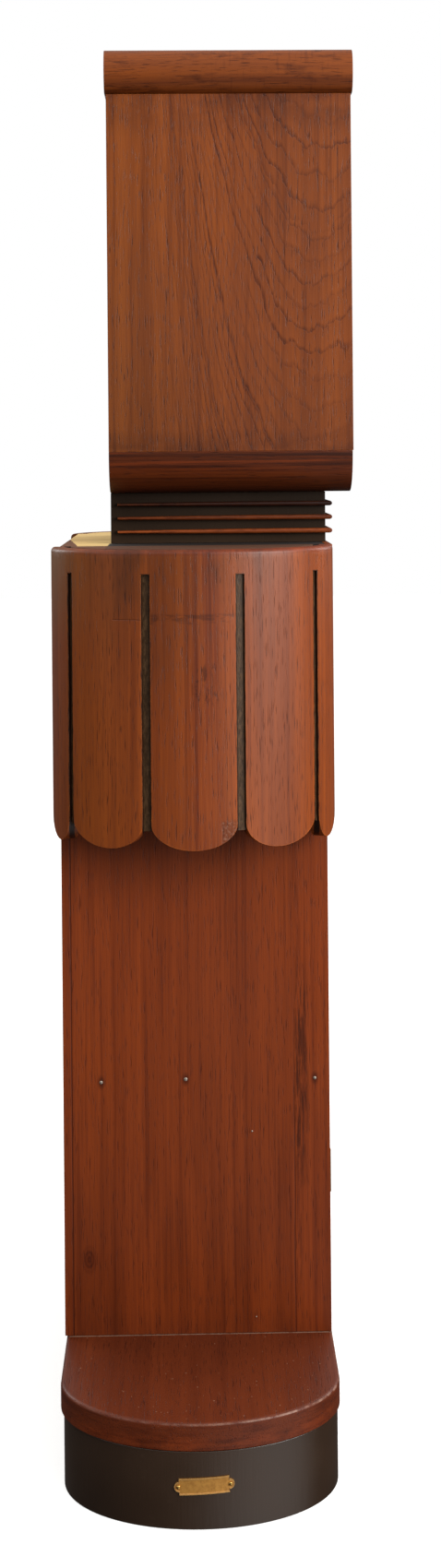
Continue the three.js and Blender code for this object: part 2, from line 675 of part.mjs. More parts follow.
const seat = box(-headInX, headInX, SEAT.front, SEAT.rear, seatLow, PLATES_LOW - GAP);
place("seat_board", cut(seat, ...lineHoles), bareWood);

// The escape wheel: pointed teeth on a thin wheel, on its own arbor between the plates.
function escapeWheel() {
  const points = [];
  for (let i = 0; i < ESCAPE_TEETH; i += 1) {
    const at = (2 * Math.PI * i) / ESCAPE_TEETH;
    for (const [r, lead] of [[ESCAPE.root, 0], [ESCAPE.tip, 0.075], [ESCAPE.root, 0.1]]) {
      points.push([r * Math.cos(at + lead), r * Math.sin(at + lead)]);
    }
  }
  const wheel = frontPlate(points, ESCAPE.front, ESCAPE.rear);
  const arbor = rodY(SMALL_ARBOR_R, PLATE_FRONT - 1, PLATE_BACK + 4, 0, 0, 12);
  return joined(wheel, arbor).translate(ESCAPE.x, 0, ESCAPE.z);
}
place("escape_wheel", escapeWheel(), brass);

// The anchor with its arbor and crutch: two pallets that straddle the escape wheel's rim.
function anchor() {
  const towards = Math.atan2(ESCAPE.x, PALLET_Z - ESCAPE.z);
  const arms = [
    [-5, 5],
    [5, 5],
    [PALLET_REACH - 2, -14],
    [PALLET_REACH, -28],
    [PALLET_REACH - 4, -28],
    [PALLET_REACH - 8, -16],
    [0, -5],
    [-PALLET_REACH + 8, -16],
    [-PALLET_REACH + 4, -28],
    [-PALLET_REACH, -28],
    [-PALLET_REACH + 2, -14],
  ];
  const yoke = frontPlate(arms.reverse(), ESCAPE.front - 1, ESCAPE.rear + 1).rotateY(-towards);
  const arbor = rodY(SMALL_ARBOR_R, PLATE_FRONT - 1, PENDULUM_Y - 6, 0, 0, 12);
  const crutch = box(-2, 2, PENDULUM_Y - 12, PENDULUM_Y - 8, -CRUTCH_LENGTH, 2);
  const fork = box(-2, 2, PENDULUM_Y - 9, PENDULUM_Y - 5, -CRUTCH_LENGTH, 10 - CRUTCH_LENGTH);
  return joined(yoke, arbor, crutch, fork).translate(0, 0, PALLET_Z);
}
place("anchor", anchor(), steel);

// ---- pendulum ----
const cockFront = PLATE_BACK + PLATE_THICK + GAP;
const cock = cut(
  joined(
    box(-16, 16, cockFront, PLATE_BACK + 7, PALLET_Z + 12, PLATES_TOP),
    box(-8, 8, PLATE_BACK + 6, PENDULUM_Y + 8, PALLET_Z + 14, PALLET_Z + 24),
  ),
  box(-2.4, 2.4, PENDULUM_Y - 8, PENDULUM_Y + 9, PALLET_Z + 10, PALLET_Z + 30),
);
place("pendulum_cock", cock, brass);

// A flat spring, a flat upper rod and a round threaded end, which pass down through the bob.
const threadTop = BOB_R - 58;
const rod = joined(
  box(-0.5, 0.5, PENDULUM_Y - 6, PENDULUM_Y + 6, PALLET_Z - 32, PALLET_Z + 20),
  box(-4, 4, PENDULUM_Y - 3, PENDULUM_Y + 3, BOB_Z + threadTop - 2, PALLET_Z - 30),
  rodZ(THREAD_R, BOB_Z - BOB_R - 42, BOB_Z + threadTop, 0, PENDULUM_Y, 12),
);
place("pendulum_rod", rod, steel);
const halfLens = [[20, 14.5], [BOB_R * 0.7, 10], [BOB_R * 0.95, 4]];
const lens = [
  [0, -BOB_HALF],
  ...halfLens.map(([r, y]) => [r, -y]),
  [BOB_R, 0],
  ...halfLens.toReversed(),
  [0, BOB_HALF],
];
const bob = cut(
  turnedY(lens, 0, 0, 40),
  box(-4.4, 4.4, -3.4, 3.4, threadTop - 6, BOB_R + 5),
  rodZ(THREAD_R + 0.4, -BOB_R - 5, threadTop - 2, 0, 0, 12),
);
place("pendulum_bob", bob.translate(0, PENDULUM_Y, BOB_Z), brass);
const ratingTop = BOB_Z - BOB_R - 2;
const ratingLow = ratingTop - 14;
const ratingBore = THREAD_R + GAP;
const ratingSection = [
  [ratingBore, ratingLow],
  [11, ratingLow + 2],
  [11, ratingTop - 3],
  [7, ratingTop],
  [ratingBore, ratingTop],
  [ratingBore, ratingLow],
];
place("rating_nut", turnedZ(ratingSection, 0, PENDULUM_Y, 20), brass);

// ---- weights on their lines ----
const weightLow = WEIGHT_TOP - WEIGHT_LENGTH;
const hookTop = WEIGHT_TOP + 26;
const weightSection = [
  [0, weightLow - 6],
  [14, weightLow - 5],
  [WEIGHT_R, weightLow],
  [WEIGHT_R, WEIGHT_TOP],
  [14, WEIGHT_TOP + 5],
  [3, WEIGHT_TOP + 6],
  [3, hookTop],
  [0, hookTop],
];
for (const [side, x] of Object.entries({ left: -WEIGHT_X, right: WEIGHT_X })) {
  place(`weight_${side}`, turnedZ(weightSection, x, WEIGHT_Y, 24), brass);
  place(`weight_line_${side}`, rodZ(LINE_R, hookTop + GAP, PLATES_LOW + 60, x, WEIGHT_Y, 8), steel);
}

export default clock;
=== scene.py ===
"""A longcase clock: fine wood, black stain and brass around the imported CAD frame. Metres."""
import json
import math

import bmesh
import bpy
from mathutils import Matrix, Vector

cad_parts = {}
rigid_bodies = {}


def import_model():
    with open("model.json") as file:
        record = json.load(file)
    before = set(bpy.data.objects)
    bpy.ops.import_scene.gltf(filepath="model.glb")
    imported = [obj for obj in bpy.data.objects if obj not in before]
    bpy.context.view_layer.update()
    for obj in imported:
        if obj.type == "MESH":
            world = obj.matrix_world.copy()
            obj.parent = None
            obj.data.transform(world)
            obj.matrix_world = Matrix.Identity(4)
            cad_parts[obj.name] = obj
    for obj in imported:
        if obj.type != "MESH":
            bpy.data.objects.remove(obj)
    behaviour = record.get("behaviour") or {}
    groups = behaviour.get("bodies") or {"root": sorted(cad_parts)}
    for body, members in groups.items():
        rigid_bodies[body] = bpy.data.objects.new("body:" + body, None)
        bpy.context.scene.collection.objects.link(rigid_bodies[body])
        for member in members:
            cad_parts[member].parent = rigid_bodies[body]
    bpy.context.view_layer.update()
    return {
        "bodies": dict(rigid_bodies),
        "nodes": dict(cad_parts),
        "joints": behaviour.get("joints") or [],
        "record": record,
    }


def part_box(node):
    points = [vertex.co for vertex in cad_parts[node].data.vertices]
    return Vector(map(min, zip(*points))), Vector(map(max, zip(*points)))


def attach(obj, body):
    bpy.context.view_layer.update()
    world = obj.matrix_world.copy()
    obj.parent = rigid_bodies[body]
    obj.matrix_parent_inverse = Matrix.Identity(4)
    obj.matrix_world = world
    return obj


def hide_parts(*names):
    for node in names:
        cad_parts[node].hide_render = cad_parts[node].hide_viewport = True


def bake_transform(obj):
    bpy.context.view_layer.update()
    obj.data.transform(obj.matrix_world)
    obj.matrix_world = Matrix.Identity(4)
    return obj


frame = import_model()
scene = bpy.context.scene
nodes = frame["nodes"]

# ---- camera: at the height of the head's foot, level, looking at the clock's left side ----
CAMERA_PLACE = Vector((-2.5637, 0.0047, 1.3366))
CAMERA_YAW = math.radians(-1.088)
CAMERA_ROLL = math.radians(0.491)
CAMERA_LENS = 39.5
CAMERA_SHIFT_Y = -0.2079


def make_camera():
    data = bpy.data.cameras.new("camera")
    data.sensor_width = 36
    data.lens = CAMERA_LENS
    data.shift_y = CAMERA_SHIFT_Y
    camera = bpy.data.objects.new("camera", data)
    scene.collection.objects.link(camera)
    forward = Matrix.Rotation(CAMERA_YAW, 3, "Z") @ Vector((1, 0, 0))
    up = Matrix.Rotation(CAMERA_ROLL, 3, forward) @ Vector((0, 0, 1))
    right = forward.cross(up)
    turn = Matrix((right, up, -forward)).transposed()
    camera.matrix_world = Matrix.Translation(CAMERA_PLACE) @ turn.to_4x4()
    scene.camera = camera


make_camera()

# ---- sizes, some of which the CAD nodes' boxes don't give ----
NECK_LOW, NECK_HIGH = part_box("neck")
TRUNK_FACE = -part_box("side_board_left")[0].x
DRUM_LOW, DRUM_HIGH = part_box("drum_left")
DRUM_Y = DRUM_HIGH.y
DRUM_IN = DRUM_HIGH.x
DRUM_NOSE = DRUM_IN - DRUM_LOW.x
DRUM_TOP = DRUM_HIGH.z
DRUM_TIP = DRUM_LOW.z
DRUM_THICK = 0.018
DRUM_SCALLOP = 0.034
SLOT_TOP = 1.185
SLOTS = ((-0.164, 0.006), (-0.062, 0.0115), (0.062, 0.0115), (0.164, 0.006))


# ---- materials ----
class Value:
    """A number from a node. Its arithmetic makes Math nodes."""

    def __init__(self, nodes, socket):
        self.nodes = nodes
        self.socket = socket

    def __add__(self, other):
        return self.nodes.math("ADD", self, other)

    def __sub__(self, other):
        return self.nodes.math("SUBTRACT", self, other)

    def __rsub__(self, other):
        return self.nodes.math("SUBTRACT", other, self)

    def __mul__(self, other):
        return self.nodes.math("MULTIPLY", self, other)

    def __abs__(self):
        return self.nodes.math("ABSOLUTE", self)

    __radd__ = __add__


class Nodes:
    """A small builder of node trees. An input is linked where it gets another node's output."""

    def __init__(self, owner):
        owner.use_nodes = True
        self.tree = owner.node_tree
        self.tree.nodes.clear()

    def set(self, node, key, value):
        if isinstance(value, Value):
            value = value.socket
        if isinstance(value, bpy.types.NodeSocket):
            self.tree.links.new(value, node.inputs[key])
        else:
            node.inputs[key].default_value = value

    def node(self, kind, inputs=(), **settings):
        made = self.tree.nodes.new(kind)
        for key, value in settings.items():
            setattr(made, key, value)
        for key, value in dict(inputs).items():
            self.set(made, key, value)
        return made

    def math(self, operation, a, b=0.0):
        return Value(self, self.node("ShaderNodeMath", {0: a, 1: b}, operation=operation).outputs[0])

    def vector(self, operation, a, b, output="Vector", c=(0, 0, 0)):
        return self.node("ShaderNodeVectorMath", {0: a, 1: b, 2: c}, operation=operation).outputs[output]

    def parts(self, vector):
        """A vector's x, y and z."""
        return [Value(self, part) for part in self.node("ShaderNodeSeparateXYZ", {0: vector}).outputs]

    def band(self, value, low, high, out_low=0.0, out_high=1.0):
        """out_low up to low, out_high from high on, and even steps between."""
        inputs = {0: value, 1: low, 2: high, 3: out_low, 4: out_high}
        return Value(self, self.node("ShaderNodeMapRange", inputs, clamp=True).outputs[0])

    def window(self, value, low, high, soft):
        """1 between low and high, falling to 0 over soft outside them."""
        return self.band(value, low - soft, low) * self.band(value, high, high + soft, 1.0, 0.0)

    def line(self, value, middle, half, soft):
        """A window this far either side of its middle."""
        return self.window(value, middle - half, middle + half, soft)

    def ramp(self, value, stops):
        made = self.node("ShaderNodeValToRGB", {0: value})
        ramp = made.color_ramp
        while len(ramp.elements) < len(stops):
            ramp.elements.new(0.5)
        for element, (place, color) in zip(ramp.elements, stops):
            element.position = place
            element.color = (*color, 1)
        return made.outputs[0]


class Shader(Nodes):
    """A material's nodes, with what its patterns are made of."""

    def __init__(self, name):
        self.material = bpy.data.materials.new(name)
        super().__init__(self.material)
        self.surface = self.node("ShaderNodeBsdfPrincipled")
        self.node("ShaderNodeOutputMaterial", {"Surface": self.surface.outputs[0]})
        self.place = self.node("ShaderNodeTexCoord").outputs["Object"]
        self.x, self.y, self.z = self.parts(self.place)

    def stretch(self, scale, place=None):
        place = self.place if place is None else place
        return self.node("ShaderNodeMapping", {"Vector": place, "Scale": scale}).outputs[0]

    def noise(self, scale, detail=3.0, roughness=0.55, place=None, output="Fac"):
        """Noise with this many waves a metre, one number or three."""
        place = self.place if place is None else place
        if isinstance(scale, tuple):
            place, scale = self.stretch(scale, place), 1.0
        inputs = {"Vector": place, "Scale": scale, "Detail": detail, "Roughness": roughness}
        return Value(self, self.node("ShaderNodeTexNoise", inputs).outputs[output])

    def mix(self, share, a, b, mode="MIX"):
        made = self.node("ShaderNodeMix", data_type="RGBA", blend_type=mode)
        for index, value in ((0, share), (6, a), (7, b)):
            self.set(made, index, (*value, 1) if isinstance(value, tuple) else value)
        return made.outputs[2]

    def wander(self, scale, amount):
        """The place, pushed about by a slow noise."""
        slow = self.noise(scale, 2.0, output="Color")
        return self.vector("MULTIPLY_ADD", slow, amount, c=self.place)

    def edges(self, radius=0.0022):
        """1 on convex edges, 0 on flat faces."""
        rounded = self.node("ShaderNodeBevel", {"Radius": radius}, samples=4).outputs[0]
        true = self.node("ShaderNodeNewGeometry").outputs["Normal"]
        return self.band(self.vector("DOT_PRODUCT", rounded, true, "Value"), 0.80, 0.99, 1.0, 0.0)

    def finish(self, color, roughness, bump=None, bump_depth=0.0, **fixed):
        """The material, with these on its surface. The names of fixed inputs have _ for spaces."""
        self.set(self.surface, "Base Color", color)
        self.set(self.surface, "Roughness", roughness)
        for key, value in fixed.items():
            self.set(self.surface, key.replace("_", " "), value)
        if bump is not None:
            made = self.node("ShaderNodeBump", {"Height": bump, "Strength": 1.0, "Distance": bump_depth})
            self.set(self.surface, "Normal", made.outputs[0])
        return self.material


def srgb(red, green, blue):
    """A linear colour from the usual 0 to 255 numbers."""
    return tuple((c / 255) ** 2.2 for c in (red, green, blue))


def shade(color, red, green=None, blue=None):
    """A colour times one factor, or times three."""
    return tuple(c * (red if f is None else f) for c, f in zip(color, (red, green, blue)))


GRAIN_AXIS = {"X": 0, "Y": 1, "Z": 2}


def grained(axis, across, along):
    """A scale of across, with along on the grain's own axis."""
    scale = [across] * 3
    scale[GRAIN_AXIS[axis]] = along
    return tuple(scale)


class Look:
    """What a finish may change: the colour, which began at base, the bump's height and the roughness."""

    def __init__(self, s, base, color, height, rough):
        self.s = s
        self.base = base
        self.color = color
        self.height = height
        self.rough = rough

    def paint(self, share, color):
        self.color = self.s.mix(share, self.color, color)

    def tint(self, share, factor):
        """Multiplies the colour by three factors, fully where share is 1."""
        self.paint(share, self.s.mix(1.0, self.color, factor, "MULTIPLY"))


HAIR = 0.0001


class Frame:
    """A frame of stiles and rails round an opening. In the rails the grain runs across."""

    def __init__(self, half_width, low, high):
        self.half_width = half_width
        self.low = low
        self.high = high

    def turn_rails(self, s):
        side = abs(s.x)
        above = s.band(s.z, self.high, self.high + HAIR)
        past = s.math("MAXIMUM", s.band(s.z, self.low - HAIR, self.low, 1.0, 0.0), above)
        rail = s.band(side, self.half_width, self.half_width + HAIR, 1.0, 0.0) * past
        s.place = s.mix(rail, s.place, s.node("ShaderNodeCombineXYZ", {0: s.z, 1: s.y, 2: s.x}).outputs[0])
        self.joint = s.line(side, self.half_width, HAIR, 0.0004) * past

    def mark_joints(self, look):
        look.tint(self.joint * 0.7, (0.40, 0.34, 0.34))
        look.height -= self.joint


def wood(name, color, grain="Z", lines=1.0, bands=1.0, pores=1.0, roughness=0.42, extras=(), wear=0.5,
         lean=0.012, gloss=0.28, frame=None):
    """Varnished wood: broad bands, fine lines and short dark pores along the grain, worn on its edges."""
    s = Shader(name)
    if frame:
        frame.turn_rails(s)
    place = s.wander(grained(grain, 2.6, 1.1), tuple(0.0 if a == GRAIN_AXIS[grain] else lean for a in range(3)))
    broad = s.noise(grained(grain, 30.0, 0.55), 2.0, place=place)
    line = s.noise(grained(grain, 150.0, 1.9), 3.0, 0.65, place=place)
    fine = s.noise(grained(grain, 520.0, 9.0), 2.0, place=place)
    pore = s.band(s.noise(grained(grain, 640.0, 42.0), 1.0, place=place), 0.60, 0.72)
    slow = s.noise(grained(grain, 5.0, 2.2))
    body = s.ramp(broad, (
        (0.34, shade(color, 1 - 0.26 * bands, 1 - 0.30 * bands, 1 - 0.32 * bands)),
        (0.50, color),
        (0.66, shade(color, 1 + 0.20 * bands, 1 + 0.24 * bands, 1 + 0.20 * bands)),
    ))
    body = s.mix(s.band(line, 0.53, 0.66, 0.0, 0.55 * lines), body, shade(color, 0.50, 0.42, 0.40))
    body = s.mix(s.band(line, 0.33, 0.45, 0.32 * lines, 0.0), body, shade(color, 1.42, 1.50, 1.38))
    body = s.mix(s.band(fine, 0.50, 0.64, 0.0, 0.30 * lines), body, shade(color, 0.55, 0.48, 0.46))
    body = s.mix(pore * 0.70 * pores, body, shade(color, 0.22, 0.15, 0.12))
    height = fine * 0.6 - pore * 0.8
    rough = s.band(fine, 0.3, 0.7, roughness - 0.02, roughness + 0.04) + s.band(slow, 0.3, 0.7, -0.04, 0.06)
    look = Look(s, color, body, height, rough)
    look.tint(s.band(slow, 0.42, 0.66, 0.0, 0.42), (0.70, 0.66, 0.66))
    for extra in extras:
        extra(s, look)
    if frame:
        frame.mark_joints(look)
    if wear:
        rubbed = s.edges() * s.band(s.noise(55.0, 3.0, 0.6), 0.36, 0.60)
        look.paint(rubbed * wear, shade(color, 2.0, 2.4, 2.8))
        look.rough -= rubbed * 0.08
    return s.finish(look.color, look.rough, look.height, 0.00022, Specular_IOR_Level=gloss, Coat_Weight=0.04,
                    Coat_Roughness=0.25)


# Nested U-shaped rings where a board is sawn near the heart of the tree, on the front half of the head's sides.
HEART_Y = -0.184
RING_CURVE = 14.0
RING_ARM = 0.13
RING_ARM_CURVE = 22.0
RINGS_PER_METRE = 27.0


def heart_rings(s, look):
    drift = s.noise((3, 6, 3.2), 3.0, 0.5)
    ragged = s.noise((160, 260, 90), 2.0)
    bent = s.noise((20, 46, 10), 2.0)
    across = s.y - HEART_Y
    beyond = s.math("MAXIMUM", abs(across) - RING_ARM, 0.0)
    level = s.z - (across * across * RING_CURVE + beyond * beyond * RING_ARM_CURVE)
    level = level * RINGS_PER_METRE + drift * 3.4 + ragged * 0.28 + bent * 1.1
    ring = s.math("FRACT", level)
    number = s.math("FLOOR", level)
    each = s.node("ShaderNodeTexWhiteNoise", {"W": number}, noise_dimensions="1D").outputs["Value"]
    dash = s.band(s.noise((300, 460, 52), 2.0), 0.36, 0.54, 0.30, 1.0)
    patchy = s.band(s.noise((9, 13, 5), 2.0), 0.34, 0.56, 0.35, 1.0)
    near = s.band(abs(across), 0.15, 0.25, 1.0, 0.15) * s.band(abs(across), 0.0, 0.06, 0.72, 1.0)
    width = s.band(abs(across), 0.02, 0.20, 0.22, 0.55)
    line = s.band(ring, 0.03, width, 1.0, 0.0) * s.band(ring, 0.0, 0.03)
    strength = line * dash * near * patchy * s.band(each, 0.1, 0.7, 0.45, 1.0)
    look.tint(strength, (0.30, 0.20, 0.15))
    sparse = s.math("FRACT", level * 0.19)
    wide = abs(across) * 0.75 + 0.01
    heavy = s.band(sparse, 0.0, wide, 1.0, 0.0) * s.band(abs(across), 0.0, 0.10, 0.35, 1.0)
    look.tint(heavy * near * dash * 0.8, (0.42, 0.32, 0.27))
    look.tint(s.band(ring, 0.30, 1.0) * near * 0.34, (0.70, 0.66, 0.68))
    look.height -= strength * 0.6


def olive_rear(s, look):
    """The head's lower rear has faded to olive brown."""
    share = s.band(s.y, -0.06, 0.10) * s.band(s.z, 1.40, 1.75, 0.75, 0.35)
    look.tint(share, (0.78, 0.90, 0.95))
    look.tint(s.band(s.z, 1.345, 1.50, 0.65, 0.0), (0.78, 0.78, 0.74))
    look.tint(s.band(s.y, -0.21, 0.0, 0.75, 0.0), (0.84, 0.82, 0.66))


def marked(s, look):
    """Dark blotches and short curls of figure along the roll, and painted shade on its underside."""
    blot = s.band(s.noise((20, 16, 60), 5.0, 0.65), 0.54, 0.66)
    look.tint(blot * 0.75, (0.46, 0.40, 0.42))
    # Painted shade: the roll darker toward its underside.
    look.tint(s.band(s.z, 1.842, 1.868, 0.75, 0.0), (0.55, 0.50, 0.50))
    cross = s.band(s.noise((20, 230, 30)), 0.56, 0.68)
    look.tint(cross * s.band(s.y, 0.05, -0.10) * 0.45, (0.55, 0.48, 0.48))


def foot_shade_and_worn_top(s, look):
    """Painted shade, in streaks, on the shoulder's foot where it curves under; its top is worn to a lighter
    brown.
    """
    streak = s.noise((110, 3.2, 150), 4.0, 0.7)
    # Painted shade on the shoulder's foot, where it curves under toward the neck.
    foot = s.band(s.z + streak * 0.016, 1.300, 1.326, 1.0, 0.0)
    look.tint(foot * 0.75, (0.56, 0.62, 0.80))
    look.tint(s.band(s.z, 1.322, 1.342, 0.0, 0.9), (0.68, 0.66, 0.48))
    look.tint(s.band(streak, 0.50, 0.60) * 0.70, (0.40, 0.34, 0.36))
    # More painted shade on the foot, in streaks.
    look.paint(foot * s.band(streak, 0.42, 0.60, 0.8, 0.1), shade(look.base, 0.50, 0.52, 0.66))
    pale = s.band(streak, 0.46, 0.36) * s.band(s.z, 1.310, 1.330)
    look.paint(pale * 0.5, shade(look.base, 1.7, 1.5, 1.2))


def painted_shade_ends(s, look):
    """Painted shade, in blotches, under the roll and above the shoulder."""
    blot = s.band(s.noise((14, 14, 30), 4.0), 0.38, 0.58)
    top = s.band(s.z, 1.780, 1.836)
    foot = s.band(s.z, 1.350, 1.378, 1.0, 0.0)
    # Painted shade under the roll and in the crease above the shoulder, broken into blotches.
    look.tint((top + foot) * blot * 0.75, (0.52, 0.48, 0.48))


def tongue_tones(s, look):
    """The drum's olive rear, darkened as painted shade away from the light, its stained places and a painted
    shade band on the rim.
    """
    # The rear's olive tone, and painted shade on the side turned from the light.
    look.tint(s.band(s.y, 0.02, 0.19) * 0.35, (0.72, 0.80, 0.70))
    top_rear = s.band(s.y, 0.12, 0.185) * s.band(s.z, 1.08, 1.20)
    look.paint(top_rear * 0.55, srgb(128, 92, 50))
    stain = s.band(s.noise((8, 11, 5), 4.0, 0.6), 0.44, 0.62)
    look.tint(stain * s.band(s.z, 1.04, 1.20) * s.window(s.y, -0.07, 0.10, 0.05) * 0.9, (0.44, 0.54, 0.62))
    olive = s.window(s.y, -0.005, 0.056, 0.02) * s.band(s.z, 0.98, 1.19)
    look.tint(olive * 0.55, (0.66, 0.80, 0.80))
    red = s.window(s.y + s.z * -0.012, -0.040, -0.012, 0.016)
    thread = s.band(s.noise((240, 240, 5), 3.0, 0.65), 0.42, 0.60)
    look.tint(red * s.band(thread, 0.0, 1.0, 0.30, 0.90), (0.58, 0.44, 0.46))
    look.tint(s.window(s.y, -0.058, 0.058, 0.004) * 0.35, (0.82, 0.78, 0.78))
    mark = s.window(s.y, -0.030, -0.004, 0.008) * s.window(s.z, 1.018, 1.062, 0.010)
    knotted = s.band(s.noise((120, 170, 60), 4.0, 0.7), 0.52, 0.60)
    look.tint(mark * knotted * 0.75, (0.35, 0.30, 0.30))
    smear = s.window(s.z, 1.122, 1.132, 0.003) * s.band(s.noise((20, 45, 160)), 0.50, 0.60)
    look.tint(smear * s.window(s.y, -0.05, 0.055, 0.01) * 0.7, (0.45, 0.42, 0.42))
    # Painted shade: a darker, warmer band on the rim's rounding.
    look.tint(s.band(s.z, DRUM_TOP - 0.009, DRUM_TOP - 0.003, 0.0, 0.8), (0.80, 0.56, 0.42))
    look.rough += s.band(s.z, DRUM_TOP - 0.003, DRUM_TOP - 0.001, 0.0, 0.35)


def slot_walls(s, look):
    """The slots' walls are darkened nearly to black, a little over their edges."""
    ragged = s.noise((260, 260, 70)) * 0.0016
    walls = 0.0
    for y, width in SLOTS:
        off = abs(s.y - y) + ragged
        walls = s.math("MAXIMUM", walls, s.band(off, width / 2 + 0.0010, width / 2 + 0.0016, 1.0, 0.0))
    look.paint(walls * s.band(s.z, SLOT_TOP + 0.0008, SLOT_TOP + 0.0014, 0.95, 0.0), srgb(22, 15, 11))


PATCH_FRONT = 0.0685
PATCH_REAR = 0.105
PATCH_FOOT = 1.126


def repair_patch(s, look):
    """A rectangular repair beside the second slot, and the mended corner at the foot of the middle tongue."""
    inside = s.window(s.y, PATCH_FRONT, PATCH_REAR, 0.0006) * s.band(s.z, PATCH_FOOT, PATCH_FOOT + 0.0006)
    look.tint(inside * 0.55, (0.80, 0.86, 0.78))
    side = s.line(s.y, PATCH_REAR, 0.0004, 0.0006) * s.band(s.z, PATCH_FOOT, PATCH_FOOT)
    foot = s.line(s.z, PATCH_FOOT, 0.0004, 0.0006)
    foot *= s.window(s.y, PATCH_FRONT, PATCH_REAR, 0.001)
    look.tint((side + foot) * 0.5, (0.35, 0.3, 0.3))
    ragged = s.noise(90.0)
    corner = s.window(s.y, -0.058, -0.036, 0.0008) * s.band(s.z + ragged * 0.012, 0.868, 0.872, 1.0, 0.0)
    look.tint(corner * 0.8, (0.62, 0.62, 0.66))
    chipped = s.band(s.noise(260.0, 4.0, 0.7), 0.50, 0.66)
    look.paint(corner * chipped * 0.4, srgb(170, 130, 110))
    look.height -= (side + foot + corner) * 0.8


BOARD_JOINT = -0.134
FAINT_JOINT = -0.068
REAR_STRIP = 0.171
# Each nail's name, Y, Z and radius. The first three have stained the wood.
NAILS = (("rear", 0.131, 0.481, 0.0024), ("middle", 0.015, 0.4835, 0.0026), ("front", -0.1625, 0.483, 0.0022),
         ("low", -0.0757, 0.411, 0.0013), ("lowest", -0.0795, 0.156, 0.0009))
STAINED_NAILS = NAILS[:3]
KNOT_Y, KNOT_Z = 0.149, 0.2382
# Stains and the knot are longer than wide.
ALONG_GRAIN = 0.55


def planks(s, look):
    """The trunk side's planks: their joints, a stained split, a knot, a painted shadow under the drum, a darker
    lower part and painted shade along the foot.
    """
    waver = (s.noise((1, 1, 6), 2.0) - 0.5) * 0.004
    y = s.y + waver
    joint = s.line(y, BOARD_JOINT, 0.0004, 0.0008) * s.band(s.z, 0.42, 0.60, 0.9, 0.25)
    faint = s.line(y, FAINT_JOINT, 0.0003, 0.0007) * s.band(s.z, 0.30, 0.5, 0.5, 0.1)
    strip = s.line(s.y, REAR_STRIP, 0.0005, 0.0008)
    look.tint(joint + faint + strip, (0.40, 0.34, 0.34))
    torn = s.band(s.noise((200, 200, 16), 4.0, 0.7), 0.42, 0.56)
    streak = s.window(y, BOARD_JOINT - 0.016, BOARD_JOINT - 0.004, 0.006) * s.window(s.z, 0.40, 0.585, 0.07)
    look.tint(streak * torn * 0.85, (0.34, 0.34, 0.36))
    long = s.window(y, BOARD_JOINT - 0.009, BOARD_JOINT - 0.003, 0.003) * s.window(s.z, 0.20, 1.1, 0.1)
    look.tint(long * torn * 0.5, (0.5, 0.46, 0.46))
    front = s.band(s.y, BOARD_JOINT - 0.0005, BOARD_JOINT + 0.0005, 0.35, 0.0)
    look.tint(front, (1.22, 1.18, 1.08))
    flat = s.stretch((0, 1, ALONG_GRAIN))
    near = s.vector("DISTANCE", flat, (0, KNOT_Y, KNOT_Z * ALONG_GRAIN), "Value")
    rings = s.math("SINE", (near + waver * 0.8) * 1500.0)
    knot = s.band(near, 0.004, 0.012, 1.0, 0.0) * s.band(rings, -1.0, 1.0, 0.45, 0.95)
    look.tint(knot, (0.40, 0.32, 0.32))
    for _, y, z, _ in STAINED_NAILS:
        away = s.vector("DISTANCE", flat, (0, y, z * ALONG_GRAIN), "Value")
        look.tint(s.band(away, 0.0024, 0.0062, 0.8, 0.0), (0.30, 0.27, 0.27))
    # Painted shadow on the board just under the drum.
    look.tint(s.band(s.z, 0.78, 0.875) * 0.35, (0.60, 0.56, 0.56))
    look.tint(s.band(s.z, 0.16, 0.55, 0.45, 0.0), (0.62, 0.58, 0.60))
    worn = s.band(s.noise((26, 26, 2.4), 4.0, 0.6), 0.44, 0.60)
    look.tint(worn * s.band(s.z, 0.16, 0.62, 0.75, 0.0), (0.60, 0.58, 0.62))
    # Painted shade along the board's foot, in the corner above the slab.
    slab_corner_shade = s.band(s.z + s.noise(30.0) * 0.03, 0.150, 0.185, 0.35, 0.0)
    look.tint(slab_corner_shade, (0.62, 0.60, 0.60))
    look.height -= (joint + strip) * 1.2


def slab_finish(s, look):
    """Dust along the foot of the trunk, small pale specks, a lower edge lightened and reddened as painted
    light, and a painted highlight in worn patches on the top edge.
    """
    crack = s.band(s.noise((40, 60, 40), 3.0, 0.7), 0.26, 0.50, 0.25, 0.9)
    line = s.window(abs(s.x), 0.1995, 0.2012, 0.0009)
    top = s.band(s.z, 0.1325, 0.1333)
    dusty = line * top * crack * 0.8
    look.paint(dusty, srgb(150, 118, 100))
    speck = s.band(s.noise(260.0, 1.0), 0.755, 0.775) * top
    look.paint(speck * 0.40, srgb(170, 130, 105))
    look.tint(top * s.band(s.noise(9.0), 0.40, 0.62, 0.10, 0.50), (0.76, 0.74, 0.76))
    # Painted light: the slab's lower edge lighter and redder, in patches.
    lower = s.band(s.z, 0.110, 0.120, 1.0, 0.0) * s.band(s.noise((30, 30, 60)), 0.40, 0.60)
    look.tint(lower * 0.6, (1.7, 1.6, 1.35))
    look.rough += dusty * 0.3
    figure = s.band(s.noise((16, 16, 190), 4.0, 0.6), 0.46, 0.62)
    look.tint(figure * (1.0 - top) * 0.55, (0.50, 0.44, 0.46))
    # Worn patches on the rounded top edge, also a painted highlight, brightest toward the front.
    rim = s.window(s.z, 0.1306, 0.1320, 0.0005) * s.band(s.noise(60.0, 3.0, 0.6), 0.40, 0.60)
    look.paint(rim * s.band(s.y, -0.13, 0.10, 0.42, 0.05), srgb(190, 150, 130))


